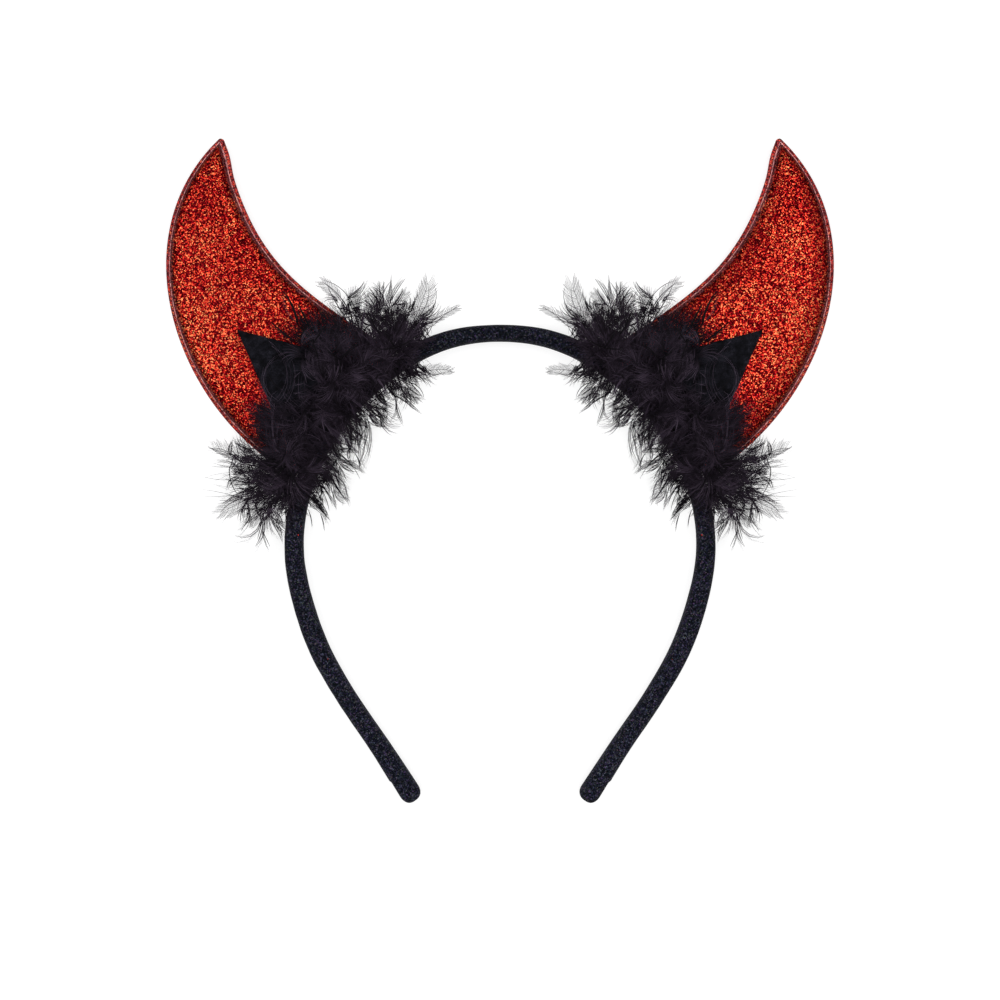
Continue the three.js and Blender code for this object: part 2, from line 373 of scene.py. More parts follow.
def hornSpot(u, v):
    insets = hornLook["insets"]
    up = 1 - (1 - v) ** hornLook["rowCrowding"]
    width = np.linalg.norm(readLine(hornInner, up) - readLine(hornOuter, up))
    squeeze = min(1, width / (2.2 * insets[-1]))
    column, top = hornRing[round(u * (len(hornRing) - 1))]
    back = hornColumns - 1 - column
    edge = min(column, back)
    if edge < len(insets):
        inset = insets[edge] * squeeze
    else:
        free = width / 2 - insets[-1] * squeeze
        inset = insets[-1] * squeeze + free * (edge - len(insets) + 1) / ((hornLook["padColumns"] + 1) / 2)
    point = onHorn(up, inset / width if column <= back else 1 - inset / width)
    fromTip = np.linalg.norm(point - onHorn(1, 0.5))
    return up, point, min(inset, fromTip), top


def hornPoint(u, v):
    up, point, inset, top = hornSpot(u, v)
    rise = np.interp(inset, hornProfile[:, 0], hornProfile[:, 1])
    fromFoot = up * hornLook["length"]
    if fromFoot < hornLook["footRound"]:
        rise *= 0.55 + 0.45 * (1 - (1 - fromFoot / hornLook["footRound"]) ** 2) ** 0.5
    return point[0], point[1], hornLook["middle"] + hornLook["seam"] + (rise if top else 0)


def hornInset(u, v):
    up, point, inset, top = hornSpot(u, v)
    return inset if top else 0.0


def glitterCloth():
    material, tree, shader = newMaterial("glitterCloth", (0.5, 0.05, 0.03), 0.35)
    shader.inputs["Metallic"].default_value = 0.6
    shader.inputs["Specular IOR Level"].default_value = 0.05
    shader.inputs["Specular Tint"].default_value = (1, 0.3, 0.2, 1)
    parts = addNode(tree, "SeparateXYZ", {"Vector": addNode(tree, "TexCoord").outputs["Object"]}).outputs
    width = addMath(tree, "ABSOLUTE", parts["X"])  # both horns alike
    spot = addNode(tree, "CombineXYZ", {"X": width, "Y": parts["Y"], "Z": parts["Z"]}).outputs[0]
    flecks = addGrain(tree, spot, hornLook["fleckScale"])
    dust = addGrain(tree, spot, hornLook["dustScale"])
    tone = addNode(tree, "Mix", {0: 0.15, 2: flecks["Tone"], 3: dust["Tone"]}, data_type="FLOAT").outputs[0]
    cloud = addNode(tree, "TexNoise", {"Vector": spot, "Scale": 70.0, "Detail": 2.0}).outputs["Fac"]
    tone = addMath(tree, "ADD", tone, addRange(tree, cloud, 0.3, 0.7, -0.05, 0.05))
    # painted light: the tone rises near one spot, a pool of light painted into the glitter
    away = addNode(tree, "VectorMath", {0: spot, 1: hornLook["paintedLightAt"]}, operation="DISTANCE")
    tone = addMath(tree, "ADD", tone, addRange(tree, away.outputs["Value"], 0.01, 0.055, 0.045, -0.035))
    # random fleck colours from dark maroon to orange; the top golden stops are painted glints
    color = addRamp(tree, tone, [(0.22, (0.022, 0.0001, 0.0012)), (0.45, (0.06, 0.0003, 0.002)),
                                 (0.59, (0.155, 0.0012, 0.0055)), (0.71, (0.43, 0.0075, 0.01)),
                                 (0.84, (0.96, 0.055, 0.026)), (0.97, (1.0, 0.35, 0.125))])
    inset = addNode(tree, "Attribute", attribute_name="fromEdge").outputs["Fac"]
    inset = addMath(tree, "MULTIPLY", inset, 0.2)  # 5 mm is 1
    # painted shade: darkest in the pressed groove and on the slope just inside it; the milder darkening of
    # the border is its finer, darker glitter
    shade = addRamp(tree, inset, [(0, 0.8), (0.2, 0.7), (0.29, 0.2), (0.42, 0.28), (0.72, 1)])
    color = mixColor(tree, 1.0, color, shade, "MULTIPLY")
    # partly painted highlight, partly the seal's own glitter-free colour, broken up at random
    sealSheenAndTint = addRamp(tree, inset, [(0, 0.7), (0.04, 0.25), (0.17, 0.25), (0.205, 1), (0.245, 1), (0.28, 0.4),
                                 (0.36, 0.3), (0.42, 0)])
    bare = addRamp(tree, dust["Tone"], [(0.3, 0), (0.55, 0.85)])
    sealSheenAndTint = mixColor(tree, 1.0, sealSheenAndTint, bare, "MULTIPLY")
    color = mixColor(tree, sealSheenAndTint, color, (0.42, 0.14, 0.155))  # painted highlight on the cut edge and the pressed line, over their own duller pinkish finish, and a brownish band inside the line
    # painted highlight: a pale broken line where the smooth pressed seam reflects light
    line = addRamp(tree, inset, [(0.195, 0), (0.213, 1), (0.227, 1), (0.247, 0)])
    breaks = {"Vector": spot, "Scale": hornLook["lineScale"], "Detail": 3.0}
    broken = addRamp(tree, addNode(tree, "TexNoise", breaks).outputs["Fac"], [(0.42, 0), (0.6, 0.8)])
    color = mixColor(tree, mixColor(tree, 1.0, line, broken, "MULTIPLY"), color, (0.74, 0.4, 0.37))
    tree.links.new(color, shader.inputs["Base Color"])
    tilt = {0: flecks["Color"], 1: (0.5, 0.5, 0.5)}  # each fleck leans its own way
    tilt = addNode(tree, "VectorMath", tilt, operation="SUBTRACT").outputs[0]
    tilt = addNode(tree, "VectorMath", {0: tilt, "Scale": 0.55}, operation="SCALE").outputs[0]
    normal = addNode(tree, "NewGeometry").outputs["Normal"]
    normal = addNode(tree, "VectorMath", {0: normal, 1: tilt}, operation="ADD").outputs[0]
    normal = addNode(tree, "VectorMath", {0: normal}, operation="NORMALIZE").outputs[0]
    tree.links.new(normal, shader.inputs["Normal"])
    return material


glitter = glitterCloth()
padSwell = {
    "simScale": 20,  # the cloth solver likes larger things
    "pressure": 4.0,
    "frames": 20,
    "heldInset": 1.6,  # the pressed line and all outside it stay put
    "heldFoot": 0.6,
    "cap": 0.3,  # how far a point may move
}


def swellPad(mesh):
    # the padded middle swells as cloth under pressure, its border held
    count = len(mesh.vertices)
    before = np.zeros(count * 3)
    mesh.vertices.foreach_get("co", before)
    before = before.reshape(-1, 3) / mm
    insets = np.zeros(count)
    mesh.attributes["fromEdge"].data.foreach_get("value", insets)
    footLine = np.array([onBand(share, 1, hornLook["gap"]) for share in np.linspace(*hornLook["foot"], 60)])
    fromFoot = np.min(np.linalg.norm(before[:, None, :2] - footLine[None], axis=2), axis=1)
    still = (insets < padSwell["heldInset"]) | (fromFoot < padSwell["heldFoot"])
    pad = bpy.data.objects.new("padSwell", mesh.copy())
    pad.data.transform(Matrix.Scale(padSwell["simScale"], 4))
    scene.collection.objects.link(pad)
    held = pad.vertex_groups.new(name="held")
    held.add([int(k) for k in np.flatnonzero(still)], 1.0, "REPLACE")
    cloth = pad.modifiers.new("swell", "CLOTH")
    cloth.settings.vertex_group_mass = "held"
    cloth.settings.use_pressure = True
    cloth.settings.uniform_pressure_force = padSwell["pressure"]
    cloth.settings.effector_weights.gravity = 0
    cloth.settings.quality = 6
    cloth.collision_settings.use_collision = False
    for step in range(1, padSwell["frames"] + 1):
        scene.frame_set(step)
    swollen = pad.evaluated_get(bpy.context.evaluated_depsgraph_get()).to_mesh()
    after = np.zeros(count * 3)
    swollen.vertices.foreach_get("co", after)
    after = after.reshape(-1, 3) / padSwell["simScale"] / mm
    moved = np.clip(after - before, -padSwell["cap"], padSwell["cap"])
    moved[still] = 0
    mesh.vertices.foreach_set("co", ((before + moved) * mm).ravel())
    mesh.update()
    used = pad.data
    bpy.data.objects.remove(pad)
    bpy.data.meshes.remove(used)
    scene.frame_set(1)
    print("pad swell:", round(float(moved[:, 2].max()), 3), "mm")


hornSize = (hornLook["girth"], hornLook["length"])
panelShape = rolledGrid(len(hornRing) - 1, hornLook["rows"], hornPoint, hornSize, hornInset)
frontPanel = meshOf(panelShape, "hornFront")
swellPad(frontPanel)
backPanel = frontPanel.copy()
backPanel.transform(Matrix.Translation((0, 0, 2 * hornLook["middle"] * mm)) @ Matrix.Scale(-1, 4, (0, 0, 1)))
backPanel.flip_normals()
for side, sign in sides.items():
    for face, mesh in (("front", frontPanel), ("back", backPanel)):
        shape = mesh if sign > 0 else mirrored(mesh)
        panel = addPiece(f"horn_{face}_{side}", shape, glitter, f"horn_{face}_panel_{side}")
print("horns:", len(frontPanel.polygons), "faces a panel")


# Glitter flakes: four-sided scales that stand out of the cloth

flakeLook = {
    "front": 7000,
    "back": 2000,
    "size": (0.09, 0.2),  # half across
    "tilt": 0.35,
    "lift": (0.0, 0.08),
    "root": 0.25,  # how deep a flake's point sits
    "bare": (0.9, 1.8),  # insets with no flakes, along the pressed line
    "lowest": 0.3,  # the first inset with flakes
    "strays": [(57.3, -18.2), (56.4, -15.7), (58.6, -21.4), (48.9, -53.5)],  # came off, on the band
    "strayZ": 7.9,
    "strayTone": 0.85,
}


def flakeMesh(name, panel, count, seed, strays):
    rng = np.random.default_rng(seed)
    bm = bmesh.new()
    bm.from_mesh(panel)
    insetLayer = bm.verts.layers.float["fromEdge"]
    lowest = flakeLook["lowest"]
    faces = [f for f in bm.faces if len(f.verts) == 4 and max(v[insetLayer] for v in f.verts) > lowest]
    corners = np.array([[v.co for v in f.verts] for f in faces])
    insets = np.array([[v[insetLayer] for v in f.verts] for f in faces])
    normals = np.array([f.normal for f in faces])
    areas = np.array([f.calc_area() for f in faces])
    bm.free()
    pick = rng.choice(len(faces), size=count, p=areas / areas.sum())
    u, v = rng.random((2, count, 1))
    quad, inset = corners[pick], insets[pick]
    weights = np.concatenate([(1 - u) * (1 - v), u * (1 - v), u * v, (1 - u) * v], axis=1)
    spots = (quad * weights[..., None]).sum(axis=1) / mm
    inset = (inset * weights).sum(axis=1)
    low, high = flakeLook["bare"]
    keep = (inset < low) | (inset > high)
    spots, normal, inset = spots[keep], normals[pick][keep], inset[keep]
    if strays:
        spots = np.vstack([spots, [(x, y, flakeLook["strayZ"]) for x, y in strays]])
        normal = np.vstack([normal, [(0, 0, 1)] * len(strays)])
        inset = np.append(inset, np.full(len(strays), 2 * high))
    count = len(spots)
    up = normal + rng.normal(0, flakeLook["tilt"], (count, 3))
    up /= np.linalg.norm(up, axis=1, keepdims=True)
    ahead = np.cross(up, rng.normal(0, 1, (count, 3)))
    ahead /= np.linalg.norm(ahead, axis=1, keepdims=True)
    aside = np.cross(up, ahead)
    half = rng.uniform(*flakeLook["size"], (count, 1)) * np.where(inset < low, 0.6, 1)[:, None]
    lift = rng.uniform(*flakeLook["lift"], (count, 1))
    top = spots + normal * lift
    longer = rng.uniform(0.7, 1.2, (count, 1))
    ahead, aside = ahead * half * longer, aside * half
    point = spots - normal * flakeLook["root"]
    verts = np.stack([top + ahead, top + aside, top - ahead, top - aside, point], axis=1).reshape(-1, 3) * mm
    faces = [(i + a, i + b, i + c) for i in range(0, 5 * count, 5)
             for a, b, c in ((0, 1, 2), (0, 2, 3), (1, 0, 4), (2, 1, 4), (3, 2, 4), (0, 3, 4))]
    mesh = bpy.data.meshes.new(name)
    mesh.from_pydata(verts, [], faces)
    tone = mesh.attributes.new("tone", "FLOAT", "POINT")
    shades = rng.random(count)
    shades[count - len(strays):] = flakeLook["strayTone"]
    tone.data.foreach_set("value", np.repeat(shades, 5).astype(np.float32))
    return mesh


def glitterFlake():
    material, tree, shader = newMaterial("glitterFlake", (0.8, 0.08, 0.04), 0.22)
    shader.inputs["Metallic"].default_value = 0.6
    shader.inputs["Specular IOR Level"].default_value = 0.1
    shader.inputs["Specular Tint"].default_value = (1, 0.3, 0.2, 1)
    tone = addNode(tree, "Attribute", attribute_name="tone").outputs["Fac"]
    # random flake tones from dark maroon to orange; the brightest golden ones are painted glints
    color = addRamp(tree, tone, [(0.0, (0.022, 0.0002, 0.0012)), (0.4, (0.08, 0.0007, 0.002)),
                                 (0.62, (0.35, 0.004, 0.004)), (0.85, (0.9, 0.05, 0.015)),
                                 (0.97, (1.0, 0.2, 0.07)), (1.0, (1.0, 0.4, 0.17))])
    tree.links.new(color, shader.inputs["Base Color"])
    return material


flakeGloss = glitterFlake()
for face, mesh, seed, strays in (("front", frontPanel, 11, flakeLook["strays"]), ("back", backPanel, 12, [])):
    flakes = flakeMesh(f"flakes_{face}", mesh, flakeLook[face], seed, strays)
    for side, sign in sides.items():
        shape = flakes if sign > 0 else mirrored(flakes)
        addPiece(f"flakes_{face}_{side}", shape, flakeGloss, None, stands=False)
    print("flakes:", face, len(flakes.polygons), "faces")


# Felt triangles on the horns, their foot on the band

feltLook = {
    "thick": 1.2,
    "apex": (74.65, 40.1),
    "foot": (0.598, 0.714),
    "overBand": 0.55,
    "onBand": 8.3,
    "onHorn": 7.4,
    "across": 26,
    "up": 30,
    "ragged": 0.18,
    "size": (90, 45),  # girth and height
    "rim": 0.012,  # share of the width that rounds each edge
    "blunt": 0.992,  # the point stops a little short
    "lump": (0.1, 0.04),
    "fibreScale": 1500.0,
    "cloudScale": 420.0,
}
feltApex = np.array(feltLook["apex"])
feltFoot = onBand(sum(feltLook["foot"]) / 2, feltLook["overBand"])
feltRim = feltLook["rim"]
feltRing = [(0, 0.15), (0, 0.85), (feltRim, 1)]
feltRing += [(k / feltLook["across"], 1) for k in range(1, feltLook["across"])]
feltRing += [(1 - feltRim, 1), (1, 0.85), (1, 0.15), (1 - feltRim, 0)]
feltRing += [(k / feltLook["across"], 0) for k in range(feltLook["across"] - 1, 0, -1)]
feltRing += [(feltRim, 0), (0, 0.15)]


def feltBottom(x, y):
    climb = feltApex - feltFoot
    up = np.clip(((x - feltFoot[0]) * climb[0] + (y - feltFoot[1]) * climb[1]) / (climb @ climb), 0, 1)
    return feltLook["onBand"] + (feltLook["onHorn"] - feltLook["onBand"]) * up


def feltPoint(u, v):
    across, high = feltRing[round(u * (len(feltRing) - 1))]
    share = feltLook["foot"][0] * (1 - across) + feltLook["foot"][1] * across
    foot = onBand(share, feltLook["overBand"])
    x, y = foot + (feltApex - foot) * v * feltLook["blunt"]
    rag = feltLook["ragged"] * noise.noise(Vector((x * 0.9, y * 0.9, 3.0))) * abs(across - 0.5) * 2
    broad, fine = feltLook["lump"]
    lump = broad * noise.noise(Vector((x * 0.35, y * 0.35, 7.0))) + fine * noise.noise(Vector((x, y, high)))
    return x + rag, y - rag, feltBottom(x, y) + feltLook["thick"] * high + (lump if high > 0.5 else 0)


def blackFelt():
    material, tree, shader = newMaterial("blackFelt", (0.008, 0.009, 0.01), 0.95)
    spot = addNode(tree, "TexCoord").outputs["Object"]
    fibres = {"Vector": spot, "Scale": feltLook["fibreScale"], "Detail": 4.0, "Distortion": 2.5}
    fibre = addNode(tree, "TexNoise", fibres).outputs["Fac"]
    clouds = {"Vector": spot, "Scale": feltLook["cloudScale"], "Detail": 2.0}
    cloud = addNode(tree, "TexNoise", clouds).outputs["Fac"]
    both = addMath(tree, "MULTIPLY", fibre, cloud)
    tint = addRamp(tree, both, [(0.15, (0.0007, 0.0007, 0.0013)), (0.27, (0.0044, 0.0043, 0.0068)),
                                (0.42, (0.0148, 0.0145, 0.0208))])
    tree.links.new(tint, shader.inputs["Base Color"])
    bump = addNode(tree, "Bump", {"Height": fibre, "Strength": 0.7, "Distance": 0.0003})
    tree.links.new(bump.outputs["Normal"], shader.inputs["Normal"])
    shader.inputs["Specular IOR Level"].default_value = 0.1
    return material


feltCloth = blackFelt()
feltShape = meshOf(rolledGrid(len(feltRing) - 1, feltLook["up"], feltPoint, feltLook["size"]), "felt")
for side, sign in sides.items():
    felt = addPiece(f"felt_{side}", feltShape if sign > 0 else mirrored(feltShape), feltCloth,
                    f"felt_triangle_{side}")
print("felt:", len(feltShape.polygons), "faces")


# Feather strips: downy plumes, locks, curls and loose down on a cord

trimLook = {
    "spine": [(28.5, 34.8), (38, 31.8), (46, 26.5), (52.5, 18.5), (57, 9.5), (60, 0.5), (61, -5)],
    "spineZ": 11.2,
    "spineRadius": 0.9,
    "quillSteps": 24,
    "quillRadius": (0.13, 0.05),
    "stemRadius": 0.12,
    "perTuft": 2,  # plumes at each place of a fan
    "headingSpread": 16,  # degrees
    "barbsPerMm": (2.1, 7.0),  # of a tuft's quill and of a leaf plume's
    "barbRadius": (0.034, 0.062),
    "clump": 3,  # barbs that cling together
    "locks": 110,
    "lockHairs": 7,
    "shownHairs": 10,
    "lockLength": (3.5, 7.5),
    "lockHalf": (0.12, 0.45),
    "borderRadius": (0.1, 0.19),
    "hairRadius": (0.028, 0.05),
    "curls": 230,
    "curlStrands": 3,
    "curlRadius": (0.07, 0.16),
    "down": 1600,
    "downLength": (2.5, 7.5),
    "downRadius": (0.03, 0.055),
    "cordFluff": 1000,
    "cordFluffRadius": (0.05, 0.1),
    "vaneHairs": 14,
    "vaneSpread": 0.33,  # radians to each side of a vane's middle
    "vaneRadius": (0.035, 0.06),
    "vaneQuill": 0.13,
    "innerLocks": 80,  # along the band's inner edge
    "innerSpan": (0.578, 0.727),  # shares of the band's length
    "innerHeading": (203, 258),
    "innerLength": (4, 9),
    "innerHalf": (0.2, 0.75),
    "loopHairs": 3,
    "wisps": 34,  # faint hairs past the lower end
    "wispSpan": ((66, 75), (-10, 6), (4, 10)),
    "wispRadius": 0.042,
    "boldZ": (15.5, 13, 1.6),  # root, tip and hump
    "edgeZ": (9, 7, 0.5),
    "hornZ": (12.5, 8.2, 0.4),
    "overFloor": 1.2,  # what lies under the strip
    "overHorn": 7.3,
    "overBand": 8.1,
    "overFelt": 0.15,
    "bandReach": 3.2,  # from the band's middle line
    "clear": 0.25,
    "easing": 0.6,  # a strand climbs over an edge little by little
    "highest": 18.2,
}
fanColumns = ("at", "turn", "reach", "count", "hump", "tipZ", "leaf")
trimFans = [dict(zip(fanColumns, row)) for row in (
    ((0, 0.05), (168, 112), (8, 15), 6, 1.5, 7, 0.5),  # crown end
    ((0.03, 0.36), (112, 68), (14, 14), 10, 2, 7.5, 0.5),  # upper side
    ((0.03, 0.5), (234, 224), (10, 17), 12, 2, 5, 0.5),  # inner side, crown half
    ((0.5, 0.97), (224, 208), (17, 12), 12, 2, 5, 0.5),  # inner side, lower half
    ((0.9, 1), (262, 350), (8, 15), 9, 1.5, 6, 0.5),  # lower end
    ((0.8, 0.98), (300, 372), (9, 14), 8, 2, 8, 0.5),  # under the horn's outer edge
    ((0.66, 0.95), (36, 12), (13, 11), 5, 2, 11, 0.2),  # over the horn, below the felt
    ((0.06, 0.94), (190, 350), (9, 9), 7, 4, 14, 0.2),  # front
    ((0.02, 0.42), (84, 62), (13, 14), 11, 2, 10, 0.3),  # close over the horn's foot
    ((0.22, 0.4), (76, 62), (17, 18), 5, 2, 9, 0.3),  # along the horn's inner edge
)]
trimHearts = [  # where vanes spread from: x, y, z, reach, first and last heading, vanes
    (44.7, 31.1, 14.5, 11, -120, 170, 6), (29.4, 34.5, 13.5, 8, -30, 190, 6),
    (60.1, 1.1, 13.5, 11, -100, 165, 7), (53.3, 34, 13.5, 9, 40, 270, 6),
    (54.7, 16.8, 14.5, 10, 150, 330, 6), (43.5, 18, 13.5, 8, -60, 140, 5),
    (48.6, 25, 14.8, 10, 100, 290, 6), (37.5, 27, 13.8, 9, -55, 145, 5), (33, 40.5, 12, 8, 20, 320, 9),
    (60.5, -8, 12, 8, 280, 400, 5), (57, 8, 14, 9, -100, 70, 7), (32.8, 43, 9, 11, 30, 150, 9),
    (42.2, 43.6, 9, 9, 50, 130, 4), (24.2, 40.2, 9, 10, 100, 180, 5), (69, -4, 9, 10, -75, 40, 9),
    (65.6, -9.7, 8, 10, -120, -20, 6), (70.5, 4, 9, 7, -50, 70, 10), (49, -4, 8, 6, 210, 270, 2),
    (46.5, 2.6, 8, 7, 200, 270, 3), (42.8, 11.1, 8, 7, 200, 275, 3), (35.5, 19.7, 8, 8, 200, 280, 4),
    (28.5, 26.5, 8, 8, 175, 255, 5), (40.5, 44.5, 9, 6, 0, 320, 7), (42.8, 46.2, 9, 5, 0, 320, 6),
    (24.5, 29.8, 8, 8, 200, 290, 4), (71.5, 0.5, 8, 5, -40, 50, 5),
]
trimVeils = [  # hairs combed one way: from x and y, to x and y, heading, length, radius, count, tone
    (44, 37, 54, 34, 47, 14, 0.05, 400, 0.2), (63.5, 16, 60, 3, 28, 11, 0.05, 380, 0.3),
    (31, 36, 49, 27, 78, 8, 0.095, 340, 0.2), (24, 37.5, 33, 36, 95, 7, 0.09, 240, 0.25),
    (60, 0, 61.5, -8, 340, 6, 0.09, 170, 0.5), (66, 16, 63, 4, 40, 8, 0.05, 300, 0.4),
    (27, 36.5, 35, 31.2, 322, 6, 0.1, 200, 0.3), (59.5, 2, 61, -9, 275, 6, 0.1, 130, 0.5),
    (25.5, 31, 36, 23, 225, 4.5, 0.055, 110, 0.45), (36, 23, 45.5, 12.5, 225, 4.5, 0.055, 120, 0.45),
    (45.5, 12.5, 53.5, -4, 225, 4.5, 0.055, 110, 0.45), (22.5, 38, 29, 35, 110, 5, 0.09, 120, 0.3),
    (62, 2, 63.5, -8, 345, 9, 0.055, 200, 0.5), (58.4, 1, 60, -8, 282, 5, 0.1, 120, 0.45),
    (24.6, 37.6, 31.6, 33.6, 240, 4, 0.1, 160, 0.3), (62.5, 3.5, 64.5, 0.5, 18, 8, 0.09, 170, 0.35),
]
hornVeils = [  # the same, thinner, over the horn's inner edge
    (46.5, 42, 55, 40.5, 58, 6, 0.05, 90, 0.25),
]
boldLines = [  # dark barbs that cling together on the front: tip x and y, root x and y, radius, turn
    (32.6, 39.4, 29.4, 34.5, 0.26, 0.1), (23.6, 37.9, 29.4, 34.5, 0.2, -0.5),
    (35, 34.4, 29.4, 34.5, 0.2, 0.5), (49.4, 41, 52.7, 35.5, 0.25, -0.3), (51, 29.6, 52.7, 36, 0.2, 0.5),
    (40.2, 35.8, 44.7, 31.1, 0.2, 0.3), (49, 34.6, 44.7, 31.1, 0.2, 0.5), (46.3, 24, 44.7, 31.1, 0.18, 0.6),
    (66.5, 4.5, 60.1, 1.1, 0.2, 0.4), (65, -4, 60.1, 1.1, 0.24, -0.3), (57, -5.5, 60.1, 1.1, 0.2, 0.6),
    (68.2, 1, 60.1, 1.1, 0.2, -0.4), (66, 29, 60.5, 22, 0.12, 0.8), (57.5, 12, 54.7, 18, 0.16, 0.4),
    (37, 45.5, 33.5, 38, 0.22, 0.5),
]
hornBarbs = [  # the same, close over the horn
    (62, 51.5, 57.1, 41.5, 0.4, -0.6), (57.3, 41.9, 52.3, 36.2, 0.35, 0.3),
    (57.6, 47.6, 53.8, 40.4, 0.34, -0.2), (65.2, 42.5, 58, 36.6, 0.32, 0.2),
]
feltLoops = [  # pale hairs over the felt: tip x and y, root x and y, radius, turn
    (61.6, 32.5, 63.8, 19.5, 0.045, 2.1), (62.3, 32.3, 63.5, 19.5, 0.045, -1.8),
    (60.4, 31.4, 65.6, 36.3, 0.035, 0.3), (69, 26.5, 63.8, 17, 0.045, 0.5),
    (55.6, 27.6, 58.6, 27.2, 0.045, 0.3), (55.6, 24.9, 58.6, 24.5, 0.045, -0.3),
    (55.6, 21.6, 58.4, 21.2, 0.045, 0.3), (55.8, 27.8, 55.6, 19.5, 0.045, 0.4),
    (63.6, 20, 63.2, 7, 0.05, 0.5), (62, 18, 60.6, 7.5, 0.045, -0.5), (65.2, 16, 64.5, 6, 0.045, 0.6),
    (60, 19.5, 62.5, 8, 0.04, 0.7), (59, 30.5, 60.5, 20, 0.035, -1.2), (66, 30, 64.5, 18, 0.035, 0.9),
    (61.5, 24, 56.5, 18, 0.035, 0.6),
]
edgeLines = [  # quills that show beside the band and at the crown, lower down
    (27.8, 27.1, 38.8, 17.1, 0.15, 0.1), (30.6, 24.2, 38.5, 16.7, 0.1, -0.1),
    (43.5, 7.4, 50, -3.5, 0.18, 0.15), (41, 4.3, 43.5, 7.4, 0.12, 0.3), (43.6, -3.1, 46.5, 2.6, 0.12, 0.5),
    (45.6, -4.6, 47.3, 0.3, 0.12, 0.5), (46.5, -11.1, 49.3, -2.6, 0.12, 0.6),
    (48.5, -11.7, 51, -4.6, 0.12, 0.5), (39.5, -3, 45.9, 5.3, 0.1, 0.6), (43, 50, 42.5, 45, 0.15, 0.2),
    (50, 53.5, 42.8, 45.5, 0.15, -0.5), (48, 47.5, 42.8, 45.5, 0.12, 0.5),
    (32.5, 12.6, 37.4, 16, 0.13, -0.9), (33.8, 12.4, 38.2, 15, 0.13, -0.8),
    (29.3, 18.5, 34.5, 21.5, 0.12, -0.6), (70.5, 7, 63.5, 4.5, 0.15, 0.5), (72.5, 1, 63, 1.5, 0.16, -0.4),
    (71, -9, 62.5, -2, 0.16, 0.4), (66.5, -14, 62, -5, 0.15, 0.4), (69, -12.5, 63.5, -6.5, 0.14, -0.5),
    (75, -5, 64, -2.5, 0.12, 0.5), (34.4, 54.2, 33.5, 47.1, 0.15, 0.1),
    (30.9, 56.3, 32.5, 47.8, 0.11, -0.4), (26.6, 55.1, 31.4, 47.3, 0.12, 0.1),
    (27.6, 52.3, 30.9, 46.6, 0.15, -0.9), (37.5, 52.5, 34, 46.1, 0.16, -0.4),
    (38, 50.6, 34.4, 45.4, 0.15, 0.1), (33, 54.4, 33, 48.3, 0.11, 0.15),
    (29.2, 52.5, 32.1, 47.1, 0.12, -0.3), (25.2, 48, 29, 44.9, 0.12, 0.6),
    (18.3, 46.1, 23.3, 42.6, 0.18, -1.2), (15.7, 43.8, 22.8, 41.6, 0.15, -0.7),
    (10.9, 47.1, 18.5, 41.6, 0.09, 0.4), (38.5, 54.4, 43, 49.2, 0.14, -0.95),
    (50.6, 54.2, 43, 49.2, 0.1, -0.85), (49.2, 53, 43.9, 43.8, 0.15, 0.25),
    (20.4, 53.5, 23.3, 43.5, 0.1, -1.0), (18.5, 52.5, 22.8, 42.6, 0.12, -1.5),
    (20.2, 27.8, 23.5, 30.7, 0.17, -1.4), (12.8, 28.5, 21.9, 25.9, 0.07, 0.2),
    (21.6, 20.5, 25.7, 25, 0.13, 1.4), (23.8, 18.6, 27.6, 23.1, 0.12, -0.5),
    (29.7, 16.9, 29.7, 21.7, 0.12, 0.6), (27.6, 13.6, 29, 18.3, 0.1, 0.2),
    (31.8, 12.6, 35.2, 17.9, 0.15, -0.6), (69.1, -19.7, 67.2, -12.1, 0.16, 0.3),
    (65.3, -21.8, 67.2, -17.3, 0.11, 0.2), (70.3, -15.4, 71.5, -9.2, 0.15, 0.1),
    (73.6, -17.3, 70.8, -13.5, 0.11, -0.3), (79.8, -12.5, 72.7, -7.8, 0.13, -0.85),
    (74.1, -7.3, 76.7, 1.2, 0.15, -0.75), (82.6, 6.5, 74.1, 3.1, 0.11, -0.9),
    (75.5, 8.8, 74.1, 3.6, 0.13, -0.4), (85, -7.3, 75, -6.8, 0.05, 0.2),
    (84.6, -1.6, 76.5, -2.6, 0.05, 0.3), (85.5, -5.2, 74.6, -7.3, 0.05, -0.2),
    (82.7, 1.5, 77, 1, 0.05, 0.2), (48.5, -14, 53.9, -7.3, 0.16, 0.3), (47.5, -10.2, 51, -3, 0.13, 0.4),
    (43.2, -8.7, 48, -0.7, 0.11, -0.4), (41.3, -0.7, 45.1, 2.2, 0.14, 0.3),
]
leafPlumes = [  # the see-through plumes of the outline: tip x and y, root x and y, half width, turn
    (51, 54.4, 43, 44.5, 1.9, -0.5), (20, 54.7, 29, 35.5, 2.9, -0.5), (11.1, 47, 28.5, 35.5, 1.5, 0.25),
    (12.8, 28.8, 28.5, 25, 1.7, 0.7), (22.5, 19.5, 34, 27, 1.3, 0.3), (46.2, 5.4, 48, 23, 2.1, 0.9),
    (43.6, -9.1, 56, 6, 2.2, 0.65), (82.9, 6.8, 60, 1, 2.3, 0.2), (80.1, -12.3, 61, -4, 2.8, -0.15),
    (33.6, 53.6, 35, 34, 2.0, 0.2), (38, 51, 36.5, 33, 1.8, -0.7), (26.5, 51.5, 31, 35, 1.8, 0.5),
    (76.5, -3, 60.5, -2, 2.2, -0.5), (72, -15.5, 61, -5, 2.0, 0.6),
]
